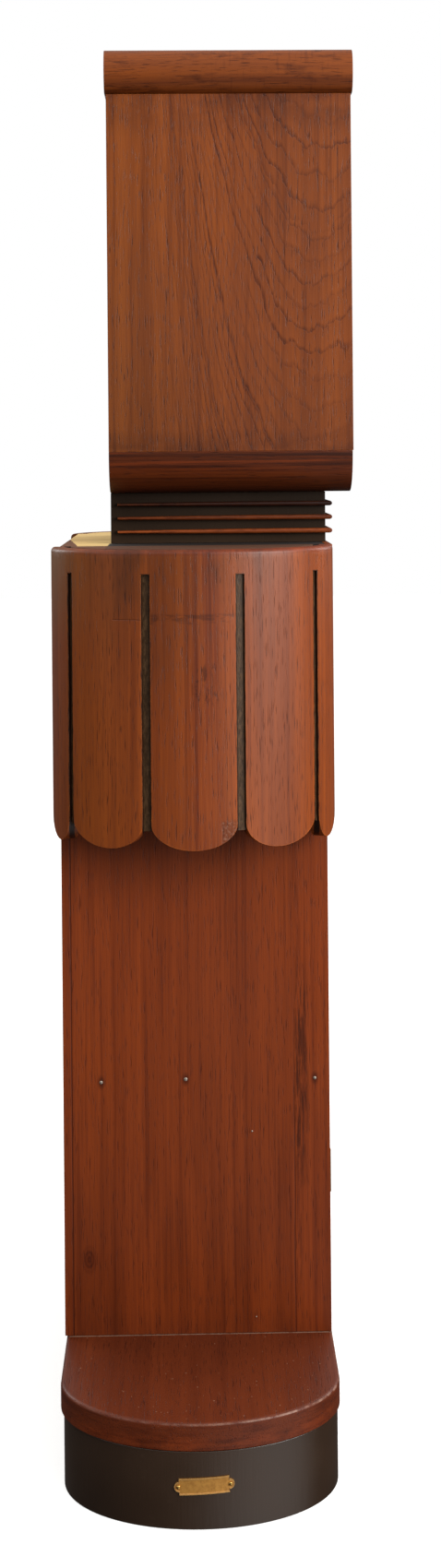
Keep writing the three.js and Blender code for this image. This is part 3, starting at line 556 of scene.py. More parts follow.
def fin_finish(s, look):
    """Black paint from the neck has bled on to the fins' flats and edges, which also paints their shade, and
    left their noses lighter; the upper fin is darkened as a painted shadow under the shoulder.
    """
    ragged = s.noise((60, 60, 200))
    nick = s.band(s.noise((45, 45, 10), 2.0), 0.68, 0.74)
    out = s.math("MAXIMUM", abs(s.x) - NECK_HIGH.x, NECK_LOW.y - s.y)
    # Black paint bled on the flats beside the neck, which also stands for painted shade there.
    look.tint(s.band(out + ragged * 0.002, 0.0068, 0.0084, 1.0, 0.0) * 0.9, (0.22, 0.18, 0.18))
    # Painted shadow: the upper fin, under the shoulder, darkened by height.
    look.tint(s.band(s.z, 1.242, 1.264, 0.0, 0.97), (0.08, 0.06, 0.04))
    look.tint(s.band(ragged, 0.45, 0.62) * 0.5, (0.45, 0.40, 0.40))
    look.tint(nick * 0.9, (0.15, 0.13, 0.13))


def painted_black(name, color, roughness, gloss, shade_above=9.0, pale_below=-9.0):
    """Black stain on wood, rubbed thin: a faint grain shows through, with fine scuffs and browner edges."""
    s = Shader(name)
    fibre = s.noise((300, 300, 15))
    slow = s.noise(6.0)
    scuff = s.band(s.noise((60, 60, 160), 5.0, 0.7), 0.60, 0.76)
    body = s.ramp(slow, ((0.3, shade(color, 0.8)), (0.7, shade(color, 1.2))))
    body = s.mix(scuff * 0.2, body, shade(color, 2.4))
    # Darker above a given height: painted shade, on the neck the shadow under the shoulder.
    body = s.mix(s.band(s.z, shade_above - 0.04, shade_above, 0.0, 0.45), body, shade(color, 0.3, 0.26, 0.18))
    body = s.mix(s.band(s.z, pale_below - 0.02, pale_below, 0.8, 0.0), body, shade(color, 1.9))
    rubbed = s.edges(0.0015) * s.band(s.noise(70.0), 0.42, 0.62)
    body = s.mix(rubbed * 0.3, body, srgb(112, 84, 62))
    rough = s.band(slow, 0.3, 0.7, roughness - 0.05, roughness + 0.06) + scuff * 0.12
    return s.finish(body, rough, fibre, 0.00015, Specular_IOR_Level=gloss)


def slot_black(name):
    """The strips in the drum's slots: thick old stain, crazed and rubbed to brown, black along both edges."""
    s = Shader(name)
    crazed = s.noise((300, 300, 120), 4.0, 0.7)
    slow = s.noise((10, 10, 9), 2.0)
    body = s.mix(s.band(crazed, 0.40, 0.70), srgb(62, 44, 28), srgb(98, 72, 48))
    body = s.mix(s.band(slow, 0.44, 0.66, 0.0, 0.5), body, srgb(48, 34, 22))
    edge = 1.0
    for y, width in SLOTS:
        off = abs(s.y - y) + crazed * 0.0014
        edge = s.math("MINIMUM", edge, s.band(off, width / 2 - 0.0008, width / 2 - 0.0002))
    body = s.mix(edge * 0.85, body, srgb(20, 13, 9))
    rough = s.band(crazed, 0.35, 0.65, 0.30, 0.50)
    return s.finish(body, rough, crazed, 0.0006, Specular_IOR_Level=0.3)


def bare(name, color, grain, stain=None):
    """Unfinished softwood, dusty, with stain where the part's neighbours were painted and painted shade beside
    them.
    """
    s = Shader(name)
    place = s.wander(grained(grain, 2.0, 0.8), tuple(0.0 if a == GRAIN_AXIS[grain] else 0.01 for a in range(3)))
    bands = s.noise(grained(grain, 42.0, 1.2), 3.0, 0.6, place=place)
    fibre = s.noise(grained(grain, 420.0, 12.0), place=place)
    tone = bands * 0.7 + fibre * 0.3
    body = s.ramp(tone, ((0.34, shade(color, 0.70, 0.66, 0.58)), (0.52, color), (0.68, shade(color, 1.12))))
    dust = s.band(s.noise(grained(grain, 7.0, 3.0), 4.0), 0.45, 0.75, 0.0, 0.25)
    look = Look(s, color, body, tone, s.band(fibre, 0.3, 0.7, 0.68, 0.82))
    look.paint(dust, shade(color, 0.66, 0.64, 0.62))
    if stain:
        stain(s, look)
    return s.finish(look.color, look.rough, look.height, 0.0003)


STAINED_REAR = 0.156
STAIN_NARROWS = 0.12


def deck_stain_and_shade(s, look):
    """Bare only over the trunk: the deck's margins are stained like the drum, with painted shade, near-black,
    beside the neck and behind the near drum's rim.
    """
    side = abs(s.x)
    ragged = (s.noise(60.0) - 0.5) * 0.006
    narrowed = (s.x + TRUNK_FACE) * STAIN_NARROWS
    rear = s.band(s.y + ragged - narrowed, STAINED_REAR, STAINED_REAR + 0.001)
    margin = s.math("MAXIMUM", s.band(s.x, -TRUNK_FACE, 0.001 - TRUNK_FACE, 1.0, 0.0), rear)
    # Painted shade on the deck along the neck's foot, under its fins.
    beside = s.band(side + ragged, NECK_HIGH.x - 0.006, NECK_HIGH.x - 0.003)
    beside *= s.band(side, TRUNK_FACE - 0.002, TRUNK_FACE, 1.0, 0.4)
    beside *= s.window(s.y + ragged, NECK_LOW.y - 0.002, NECK_HIGH.y + 0.001, 0.002)
    look.paint(margin, srgb(112, 66, 34))
    look.paint(beside, srgb(30, 20, 15))
    # Painted shadow: a near-black line in the gap behind the near drum's rim.
    near_side = abs(s.math("MINIMUM", s.x, 0.0))
    look.paint(s.window(near_side, TRUNK_FACE - 0.0016, TRUNK_FACE + 0.0012, 0.0006), srgb(14, 9, 7))


def metal(name, color, roughness, tarnish=(0.25, 0.16, 0.08), aged=0.35):
    """Metal with fine brush marks and duller, darker patches."""
    s = Shader(name)
    marks = s.noise(900.0)
    patch = s.band(s.noise(60.0, 4.0, 0.6), 0.42, 0.72)
    body = s.mix(patch * aged, color, tarnish)
    rough = s.band(marks, 0.3, 0.7, roughness - 0.07, roughness + 0.07) + patch * 0.15
    return s.finish(body, rough, marks, 0.00003, Metallic=1.0)


def plate_metal(name, color):
    """Old brass, its lacquer gone: half dull, brown in the hollows and bright on the worn rim."""
    s = Shader(name)
    patch = s.band(s.noise(150.0, 4.0, 0.6), 0.40, 0.66)
    fine = s.noise(700.0, 2.0)
    body = s.mix(patch * 0.55, color, shade(color, 0.50, 0.42, 0.34))
    body = s.mix(s.edges(0.0012) * 0.6, body, srgb(235, 205, 150))
    rough = s.band(fine, 0.3, 0.7, 0.34, 0.48) + patch * 0.12
    return s.finish(body, rough, fine + patch * 0.6, 0.00012, Metallic=0.45)


def dial_metal(name, color):
    """The hour circle's brass, with a black minute track of sixty strokes between two fine lines."""
    s = Shader(name)
    low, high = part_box("chapter_ring")
    centre, reach = (low + high) / 2, (high.x - low.x) / 2
    x, _, z = s.parts(s.vector("SUBTRACT", s.place, centre))
    away = s.math("SQRT", x * x + z * z)
    turn = s.math("ARCTAN2", x, z) * (60 / (2 * math.pi))
    off = abs(s.math("FRACT", turn + 0.5) - 0.5)
    stroke = s.band(off, 0.050, 0.065, 1.0, 0.0) * s.window(away, reach - 0.0064, reach - 0.0022, 0.0001)
    circle = s.window(abs(away - (reach - 0.0043)), 0.0018, 0.0023, 0.0001)
    marks = s.noise(700.0)
    patch = s.band(s.noise(40.0, 4.0, 0.6), 0.42, 0.72)
    body = s.mix(patch * 0.25, color, shade(color, 0.55, 0.45, 0.35))
    body = s.mix(s.math("MAXIMUM", stroke, circle), body, srgb(20, 16, 14))
    return s.finish(body, s.band(marks, 0.3, 0.7, 0.26, 0.38), marks, 0.00003, Metallic=0.9)


def clear_glass(name):
    s = Shader(name)
    waves = s.noise(9.0, 1.0)
    return s.finish((0.97, 0.99, 0.98, 1), s.band(waves, 0.3, 0.7, 0.0, 0.02), waves, 0.00005,
                    Transmission_Weight=1.0, IOR=1.25)


HEAD_BAR = 0.036
TRUNK_BAR = 0.034
HEAD_TONE = srgb(138, 70, 28)
BOARD_TONE = srgb(130, 58, 24)
DRUM_TONE = srgb(146, 71, 27)
SLAB_TONE = srgb(98, 45, 24)
SHOULDER_TONE = srgb(96, 45, 20)
FIN_TONE = srgb(146, 72, 32)

head_wood = wood("head_wood", HEAD_TONE, bands=0.65, extras=(heart_rings, olive_rear, painted_shade_ends),
                 lean=0.03)
roll_wood = wood("roll_wood", shade(HEAD_TONE, 0.88), "Y", bands=0.8, extras=(marked,), lean=0.06,
                 roughness=0.36)
rail_wood = wood("rail_wood", HEAD_TONE, "X")
fascia_wood = wood("fascia_wood", DRUM_TONE, "X", bands=0.8, roughness=0.38, gloss=0.45)
board_wood = wood("board_wood", BOARD_TONE, bands=0.45, pores=0.8, extras=(planks,))


def frame_of(door, bar):
    """The stiles and rails of a door whose bars are this wide, or with 0 of the fixed frame round it."""
    low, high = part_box(door)
    return Frame(high.x - bar, low.z + bar, high.z - bar)


dial_door_wood = wood("dial_door_wood", HEAD_TONE, frame=frame_of("head_door", HEAD_BAR))
trunk_door_wood = wood("trunk_door_wood", BOARD_TONE, frame=frame_of("trunk_door", TRUNK_BAR))
trunk_frame_wood = wood("trunk_frame_wood", BOARD_TONE, frame=frame_of("trunk_door", 0))
drum_wood = wood("drum_wood", DRUM_TONE, bands=0.8, extras=(tongue_tones, repair_patch, slot_walls), wear=0.8,
                 roughness=0.38, gloss=0.45)
slab_wood = wood("slab_wood", SLAB_TONE, "X", lines=0.45, bands=0.55, pores=0.8, extras=(slab_finish,),
                 wear=0.9, roughness=0.40)
shoulder_wood = wood("shoulder_wood", SHOULDER_TONE, "Y", lines=1.4, bands=1.3, extras=(foot_shade_and_worn_top,),
                     roughness=0.4)
fin_wood = wood("fin_wood", FIN_TONE, "Y", extras=(fin_finish,), wear=0.6)
back_wood = bare("back_wood", srgb(172, 126, 80), "Z")
inner_wood = bare("inner_wood", srgb(188, 146, 94), "X")
deck_wood = bare("deck_wood", srgb(246, 208, 134), "Y", deck_stain_and_shade)
base_black = painted_black("base_black", srgb(52, 38, 28), 0.30, 0.68)
# The neck is darker toward its top as painted shade under the shoulder.
neck_black = painted_black("neck_black", srgb(44, 33, 24), 0.5, 0.12, shade_above=1.275, pale_below=1.23)
liner_black = slot_black("liner_black")
plate_brass = plate_metal("plate_brass", srgb(205, 148, 74))
brass = metal("aged_brass", srgb(196, 152, 82), 0.32)
bright_brass = metal("polished_brass", srgb(214, 172, 98), 0.2, aged=0.15)
ring_brass = dial_metal("ring_brass", srgb(205, 165, 96))
spun_brass = metal("spun_brass", srgb(208, 162, 86), 0.24, tarnish=(0.30, 0.18, 0.08), aged=0.12)
nail_steel = metal("nail_steel", srgb(190, 180, 168), 0.45, tarnish=(0.16, 0.10, 0.07), aged=0.5)
steel = metal("brushed_steel", srgb(150, 152, 156), 0.3, (0.12, 0.10, 0.09), 0.2)
blackened = metal("blackened_steel", srgb(38, 36, 38), 0.35, tarnish=(0.01, 0.01, 0.012))
silver = metal("silvered_dial", srgb(216, 210, 196), 0.42, tarnish=(0.50, 0.43, 0.32), aged=0.14)
glass = clear_glass("clear_glass")


# ---- mesh helpers ----
def piece(name, vertices, faces, body, material, slot, stands_for=(), smooth=35):
    mesh = bpy.data.meshes.new(name)
    mesh.from_pydata([tuple(v) for v in vertices], [], faces)
    mesh.validate()
    made = bpy.data.objects.new(name, mesh)
    scene.collection.objects.link(made)
    repair = bmesh.new()
    repair.from_mesh(mesh)
    bmesh.ops.recalc_face_normals(repair, faces=repair.faces)
    repair.to_mesh(mesh)
    repair.free()
    mesh.materials.append(material)
    smooth_by_angle(made, smooth)
    if body:
        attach(made, body)
    if stands_for:
        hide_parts(*stands_for)
    return made


def smooth_by_angle(made, degrees):
    made.data.polygons.foreach_set("use_smooth", [True] * len(made.data.polygons))
    limit = math.radians(degrees)
    sharp = bmesh.new()
    sharp.from_mesh(made.data)
    for edge in sharp.edges:
        edge.smooth = len(edge.link_faces) == 2 and edge.calc_face_angle(0.0) < limit
    sharp.to_mesh(made.data)
    sharp.free()


def bevel(made, width, segments=3, degrees=40):
    """Rounds an object's sharp edges."""
    modifier = made.modifiers.new("rounded edges", "BEVEL")
    modifier.width = width
    modifier.segments = segments
    modifier.limit_method = "ANGLE"
    modifier.angle_limit = math.radians(degrees)
    return made


def finish_node(name, material, width):
    """A CAD node's material, and by modifiers the width of its rounded edges."""
    made = nodes[name]
    made.data.materials.clear()
    made.data.materials.append(material)
    if width:
        made.modifiers.new("join corners", "WELD").merge_threshold = 0.00001
        bevel(made, width, 2, 50)


def oval(cx, cy, rx, ry, start, end, steps):
    return [
        (cx + rx * math.cos(math.radians(a)), cy + ry * math.sin(math.radians(a)))
        for a in (start + (end - start) * i / steps for i in range(steps + 1))
    ]


def plan_normals(points):
    result = []
    count = len(points)
    for i in range(count):
        (x0, y0), (x1, y1) = points[i - 1], points[(i + 1) % count]
        length = math.hypot(x1 - x0, y1 - y0) or 1.0
        result.append(((y1 - y0) / length, -(x1 - x0) / length))
    return result


def tube_faces(rings, count):
    """The faces between rings of this many points each, then the two ends."""
    faces = []
    for ring in range(rings - 1):
        for i in range(count):
            a, b = ring * count + i, ring * count + (i + 1) % count
            faces.append((a, b, b + count, a + count))
    last = (rings - 1) * count
    return faces + [tuple(range(count - 1, -1, -1)), tuple(range(last, last + count))]


def loft(points, levels):
    """Rings of one counter-clockwise plan outline: levels are (inset, z). The ends are closed."""
    normals = plan_normals(points)
    vertices = []
    for inset, z in levels:
        vertices += [(x - nx * inset, y - ny * inset, z) for (x, y), (nx, ny) in zip(points, normals)]
    return vertices, tube_faces(len(levels), len(points))


def rounded_levels(z0, z1, low_radius, high_radius):
    """The levels of a slab whose lower and upper edges are rounded."""
    steps = 5
    turns = [math.radians(90 * i / steps) for i in range(steps + 1)]
    levels = [(low_radius * (1 - math.sin(a)), z0 + low_radius * (1 - math.cos(a))) for a in turns]
    return levels + [(high_radius * (1 - math.cos(a)), z1 - high_radius * (1 - math.sin(a))) for a in turns]


def along_y(profile, y0, y1):
    """A closed X-Z outline carried from y0 to y1."""
    return [(x, y, z) for y in (y0, y1) for x, z in profile], tube_faces(2, len(profile))


def turned(profile, centre, axis, steps):
    """A closed or axis-to-axis profile of (radius, height) turned about an axis through centre."""
    vertices = []
    for r, h in profile:
        for i in range(steps):
            a = 2 * math.pi * i / steps
            u, v = r * math.cos(a), r * math.sin(a)
            offset = {"X": (h, u, v), "Y": (u, h, v), "Z": (u, v, h)}[axis]
            vertices.append(Vector(centre) + Vector(offset))
    return vertices, tube_faces(len(profile), steps)


def mirror_x(vertices, faces):
    return [(-v[0], v[1], v[2]) for v in vertices], [tuple(reversed(f)) for f in faces]


# ---- plinth ----
PLINTH_STRAIGHT = 0.308


def plinth_outline(low, high):
    middle, reach = (low.y + high.y) / 2, (high.y - low.y) / 2
    nose = high.x - PLINTH_STRAIGHT
    right = oval(PLINTH_STRAIGHT, middle, nose, reach, -90, 90, 64)
    return right + oval(-PLINTH_STRAIGHT, middle, nose, reach, 90, 270, 64)


for name, node, material, slot, low_radius, high_radius in (
    ("plinth_slab_board", "plinth_slab", slab_wood, "plinth_wood", 0.0025, 0.005),
    ("plinth_base_block", "plinth_base", base_black, "black_paint", 0.002, 0.001),
):
    low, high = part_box(node)
    board = loft(plinth_outline(low, high), rounded_levels(low.z, high.z, low_radius, high_radius))
    piece(name, *board, "case", material, slot, [node], 50)


# ---- drums ----
RIM_RADIUS = 0.0055


def drum_columns():
    """Y places across the drum, with each one's foot and whether a tongue runs on from it to the next."""
    edges = [-DRUM_Y] + [y + s * w / 2 for y, w in SLOTS for s in (-1, 1)] + [DRUM_Y]
    columns = []
    for low, high in zip(edges[::2], edges[1::2]):
        steps = 14 if high - low < 0.05 else 26
        middle, half = (low + high) / 2, (high - low) / 2
        for i in range(steps + 1):
            across = math.sin(math.radians(-90 + 180 * i / steps))
            foot = DRUM_TIP + DRUM_SCALLOP * (1 - math.sqrt(max(0.0, 1 - across * across)))
            columns.append((middle + half * across, foot, i < steps))
    return columns


def oval_place(turn, inset, z):
    return (DRUM_IN - (DRUM_NOSE - inset) * math.cos(turn), (DRUM_Y - inset) * math.sin(turn), z)


def drum_wall():
    """The drum's wall as one closed body: five tongues, joined above the slots, under a rounded rim."""
    below, above, rounding = 18, 4, 6
    columns = drum_columns()
    skins = ([], [])
    for y, foot, _ in columns:
        turn = math.asin(max(-1.0, min(1.0, y / DRUM_Y)))
        levels = [(0.0, foot + (SLOT_TOP - foot) * k / below) for k in range(below)]
        straight = DRUM_TOP - RIM_RADIUS - SLOT_TOP
        levels += [(0.0, SLOT_TOP + straight * k / above) for k in range(above)]
        for k in range(rounding + 1):
            a = math.radians(90 * k / rounding)
            levels.append((RIM_RADIUS * (1 - math.cos(a)), DRUM_TOP - RIM_RADIUS * (1 - math.sin(a))))
        skins[0].append([oval_place(turn, inset, z) for inset, z in levels])
        skins[1].append([oval_place(turn, DRUM_THICK, z) for _, z in levels])
    rows = below + above + rounding + 1
    count = len(columns) * rows
    vertices = [v for skin in skins for column in skin for v in column]
    faces = []
    for i, (_, _, runs_on) in enumerate(columns):
        a, last = i * rows, i == len(columns) - 1
        starts_gap = not last and not runs_on
        ends_gap = i > 0 and not columns[i - 1][2]
        side_rows = rows - 1 if i == 0 or last else below if starts_gap or ends_gap else 0
        faces += [(a + k, a + k + 1, a + k + 1 + count, a + k + count) for k in range(side_rows)]
        if last:
            continue
        b = a + rows
        first = below if starts_gap else 0
        for k in range(first, rows - 1):
            faces.append((a + k, a + k + 1, b + k + 1, b + k))
            faces.append((count + a + k, count + b + k, count + b + k + 1, count + a + k + 1))
        for k in (first, rows - 1):
            faces.append((a + k, b + k, count + b + k, count + a + k))
    return vertices, faces


def drums():
    vertices, faces = drum_wall()
    for side in ("left", "right"):
        if side == "right":
            vertices, faces = mirror_x(vertices, faces)
        made = piece(f"drum_wall_{side}", vertices, faces, "case", drum_wood, "drum_wood", [f"drum_{side}"], 50)
        bevel(made, 0.0013, 2, 60)


drums()

# ---- neck fins: a band round the front and sides, thinner toward the rear ----
FIN_TAPER = 0.45


def fin_band(low, high):
    neck_x, front = NECK_HIGH.x, NECK_LOW.y
    proud = high.x - neck_x
    middle, half = (low.z + high.z) / 2, (high.z - low.z) / 2
    run = [high.y, 0.06, 0.0, -0.08]
    path = [(-neck_x, y, -1, 0) for y in run] + [(-neck_x, front, -1, -1), (neck_x, front, 1, -1)]
    path += [(neck_x, y, 1, 0) for y in reversed(run)]
    nose = [(math.cos(math.radians(a)), math.sin(math.radians(a))) for a in range(-90, 91, 15)]
    profile = [(0.0, -1.0)] + [(0.55 + 0.45 * c, s_) for c, s_ in nose] + [(0.0, 1.0)]
    vertices = []
    for x, y, out_x, out_y in path:
        thin = 1 - FIN_TAPER * max(0.0, min(1.0, (y - run[-1]) / (run[0] - run[-1]))) ** 1.5
        for u, v in profile:
            vertices.append((x + out_x * proud * u, y + out_y * proud * u, middle + half * thin * v))
    return vertices, tube_faces(len(path), len(profile))


for level in ("lower", "middle", "upper"):
    node = f"neck_fin_{level}"
    piece(f"fin_band_{level}", *fin_band(*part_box(node)), "case", fin_wood, "fin_wood", [node], 40)


# ---- name plate: blank, with a raised rim, notched corners and a round-head screw in each ear ----
PLATE_Y = -0.005
PLATE_Z = 0.0555
PLATE_TILT = math.radians(-2.5)
PLATE_BODY = 0.0315
PLATE_HALF = 0.0100
PLATE_EAR = 0.0062


def base_face(y):
    """How far out the plinth base's left nose is at this Y."""
    low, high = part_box("plinth_base")
    middle, reach = (low.y + high.y) / 2, (high.y - low.y) / 2
    nose = high.x - PLINTH_STRAIGHT
    return -PLINTH_STRAIGHT - nose * math.sqrt(max(0.0, 1 - ((y - middle) / reach) ** 2))


def on_plate(u, v, proud):
    y = PLATE_Y + u * math.cos(PLATE_TILT) - v * math.sin(PLATE_TILT)
    z = PLATE_Z + u * math.sin(PLATE_TILT) + v * math.cos(PLATE_TILT)
    return (base_face(y) - proud, y, z)


def plate():
    ear = [(PLATE_BODY + PLATE_EAR * math.sin(math.radians(a)), PLATE_EAR * math.cos(math.radians(a)))
           for a in range(0, 91, 10)]
    ear[-1] = (ear[-1][0], 0.0012)
    right = [(0.0, PLATE_HALF), (0.011, PLATE_HALF), (0.022, PLATE_HALF), (PLATE_BODY - 0.0016, PLATE_HALF)]
    right += [(PLATE_BODY, PLATE_HALF), (PLATE_BODY, PLATE_EAR)] + ear[1:]
    columns = [(-u, h) for u, h in reversed(right[1:])] + right
    rim, field = 0.0019, 0.0009
    edge = ((0, rim), (0.0011, rim), (0.0016, field))
    rows = [(-1, *step) for step in edge] + [(1, *step) for step in reversed(edge)]
    vertices = []
    for i, (u, half) in enumerate(columns):
        at_end = i < 3 or i > len(columns) - 4
        for side, back, proud in rows:
            vertices.append(on_plate(u, side * max(half - back, half * 0.3), rim if at_end else proud))
        vertices += [on_plate(u, half, -0.0004), on_plate(u, -half, -0.0004)]
    faces = tube_faces(len(columns), len(rows) + 2)
    piece("blank_plate", vertices, faces, "case", plate_brass, "brass", ["name_plate"], 30)


def dome(name, centre, radius, height, axis, body, material, slot, steps=24):
    """A round screw or nail head; height is signed along the axis."""
    turns = [math.radians(a) for a in range(0, 90, 15)]
    profile = [(radius * math.cos(a), height * math.sin(a)) for a in turns]
    profile = [(radius, -height * 0.5)] + profile + [(radius * 0.02, height)]
    vertices, faces = turned(profile, centre, axis, steps)
    piece(name, vertices, faces, body, material, slot, (), 40)


plate()
for name, u in (("rear", -PLATE_BODY - 0.0012), ("front", PLATE_BODY + 0.0012)):
    dome(f"plate_screw_{name}", on_plate(-u, 0.0, 0.0018), 0.0026, -0.0014, "X", "case", bright_brass, "brass")

# ---- nails in the trunk's sides ----
for side, outward in (("left", -1), ("right", 1)):
    for name, y, z, radius in NAILS:
        centre = (outward * TRUNK_FACE, y, z)
        dome(f"nail_{name}_{side}", centre, radius, outward * 0.0008, "X", "case", nail_steel, "steel", 16)


# ---- head: rolls and shoulders ----
SEAM_BEVEL = 0.0006
NODE_GAP = 0.0003


def head_mouldings():
    low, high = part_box("cornice_left")
    foot = low.z - NODE_GAP
    middle, half = (foot + high.z) / 2, (high.z - foot) / 2
    start = -0.182
    nose = oval(start, middle, start - low.x, half, 90, 270, 40)
    profile = nose + [(high.x, foot), (high.x, high.z)]
    roll = along_y(profile, low.y, high.y)
    low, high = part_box("shoulder_left")
    top = high.z + NODE_GAP
    curve = oval(high.x, top, high.x - low.x, top - low.z, 180, 270, 32)
    quarter = along_y(curve + [(high.x, top)], low.y, high.y)
    for side in ("left", "right"):
        if side == "right":
            roll, quarter = mirror_x(*roll), mirror_x(*quarter)
        bevel(piece(f"roll_{side}", *roll, "case", roll_wood, "case_wood", [f"cornice_{side}"]), SEAM_BEVEL)
        shoulder = piece(f"quarter_round_{side}", *quarter, "case", shoulder_wood, "moulding_wood",
                         [f"shoulder_{side}"])
        bevel(shoulder, SEAM_BEVEL)


head_mouldings()

# ---- CAD nodes that keep their shape ----
# Each finish's material, the width of its rounded edges, and the nodes that have it.
FINISHES = (
    (head_wood, SEAM_BEVEL, ("head_side_left", "head_side_right")),
    (board_wood, 0.0012, ("side_board_left", "side_board_right")),
    (trunk_frame_wood, 0.0012, ("trunk_front_frame",)),
    (trunk_door_wood, 0.0012, ("trunk_door",)),
    (dial_door_wood, 0.0012, ("head_door",)),
    (rail_wood, 0.0012, ("head_front_rail", "head_floor", "head_top")),
    (fascia_wood, 0.0015, ("front_fascia",)),
    (back_wood, 0.0008, ("trunk_back", "head_back")),
    (inner_wood, 0.0008, ("seat_board",)),
    (deck_wood, 0.0004, ("deck",)),
    (neck_black, 0.001, ("neck",)),
    (liner_black, 0.0, ("drum_liner_left", "drum_liner_right")),
    (glass, 0.0, ("head_door_glass", "trunk_door_glass")),
    (silver, 0.0, ("dial_plate",)),
    (blackened, 0.0003, ("minute_hand", "hour_hand")),
    (steel, 0.0, ("anchor", "pendulum_rod")),
    (brass, 0.0, ("head_pivot_lower", "head_pivot_upper", "cannon_pinion", "minute_wheel", "hour_wheel",
                  "movement_front_plate", "movement_back_plate", "escape_wheel", "pendulum_cock")),
    (brass, 0.0003, ("trunk_hinge_lower", "trunk_hinge_upper", "trunk_door_hinge_lower",
                     "trunk_door_hinge_upper")),
)
for material, width, names in FINISHES:
    for name in names:
        finish_node(name, material, width)


# ---- turned pieces, each in place of its CAD node ----
def middle_of(node):
    low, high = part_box(node)
    return (low + high) / 2, high - low


def curve_through(points):
    """A smooth curve through (radius, height) points."""
    steps = 5
    ends = [points[0], *points, points[-1]]
    result = []
    for a, b, c, d in zip(ends, ends[1:], ends[2:], ends[3:]):
        for k in range(steps):
            t = k / steps
            place = []
            for p, q, r, w in zip(a, b, c, d):
                square, cube = 2 * p - 5 * q + 4 * r - w, 3 * q - p - 3 * r + w
                place.append(0.5 * (2 * q + (r - p) * t + square * t * t + cube * t ** 3))
            result.append(tuple(place))
    return [(max(r, 0.0002), h) for r, h in result + [points[-1]]]


def turned_piece(name, profile, centre, axis, body, material, slot, node, steps=48):
    vertices, faces = turned(profile, centre, axis, steps)
    return piece(name, vertices, faces, body, material, slot, [node], 40)


def knob(node, body, name):
    """A round knob on a short neck, with its flange on the door."""
    centre, size = middle_of(node)
    r, back = size.x / 2, size.y / 2
    profile = [(0.0, -back), (0.5 * r, -back + 0.0004), (0.86 * r, -back + 0.0030), (r, -back + 0.0060),
               (0.80 * r, -back + 0.0095), (0.46 * r, -back + 0.0120), (0.50 * r, back - 0.0030)]
    rim = [(0.72 * r, back - 0.0022), (0.75 * r, back - 0.0012), (0.75 * r, back)]
    turned_piece(name, curve_through(profile) + rim, centre, "Y", body, bright_brass, "brass", node)


knob("trunk_door_knob", "trunk_door", "trunk_knob")
knob("head_door_knob", "dial_door", "head_knob")


def pendulum_parts():
    centre, size = middle_of("pendulum_bob")
    r, half = size.z / 2, size.y / 2
    face = [(0.0002, 1.0), (0.2, 0.985), (0.45, 0.88), (0.7, 0.66), (0.88, 0.38), (0.965, 0.17)]
    side = [(r * u, -half * v) for u, v in face]
    rim = [(r * 0.972, -half * 0.165), (r, -half * 0.12), (r, half * 0.12), (r * 0.972, half * 0.165)]
    profile = curve_through(side) + rim + [(u, -v) for u, v in reversed(curve_through(side))]
    turned_piece("bob", profile, centre, "Y", "pendulum", spun_brass, "brass", "pendulum_bob", 96)
    centre, size = middle_of("rating_nut")
    r, half = size.x / 2, size.z / 2
    profile = [(0.0024, -half), (0.8 * r, -half), (0.93 * r, -half + 0.0006), (r, -half + 0.0020),
               (r, half - 0.0045), (0.9 * r, half - 0.0030), (0.62 * r, half - 0.0022), (0.58 * r, half),
               (0.0024, half)]
    turned_piece("rating_screw", profile, centre, "Z", "pendulum", brass, "brass", "rating_nut")


pendulum_parts()
LINE_RADIUS = 0.0012
LINE_STEPS = 12
HOOK_HEIGHT = 0.026


def weight(side):
    """A brass shell with domed ends and a hook's boss, on a steel line."""
    node, line = f"weight_{side}", f"weight_line_{side}"
    centre, size = middle_of(node)
    r, half = size.x / 2, size.z / 2
    top = half - HOOK_HEIGHT
    profile = [(0.0002, -half), (0.54 * r, -half + 0.0006), (0.86 * r, -half + 0.0028),
               (0.97 * r, -half + 0.0052), (r, -half + 0.0075), (r, -half + 0.016), (r, top - 0.006),
               (0.97 * r, top - 0.0015),
               (0.80 * r, top + 0.0022), (0.50 * r, top + 0.0046), (0.20 * r, top + 0.0060),
               (0.003, top + 0.0085), (0.003, half - 0.001), (0.0022, half), (0.0002, half)]
    turned_piece(f"weight_shell_{side}", profile, centre, "Z", node, brass, "brass", node, 64)
    low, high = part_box(line)
    x, y = (low.x + high.x) / 2, (low.y + high.y) / 2
    count = 60
    levels = [(LINE_RADIUS, low.z + (high.z - low.z) * i / count) for i in range(count + 1)]
    vertices, faces = turned(levels, (x, y, 0.0), "Z", LINE_STEPS)
    made = piece(line + "_run", vertices, faces, None, steel, "steel", [line])
    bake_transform(made)


for side in ("left", "right"):
    weight(side)


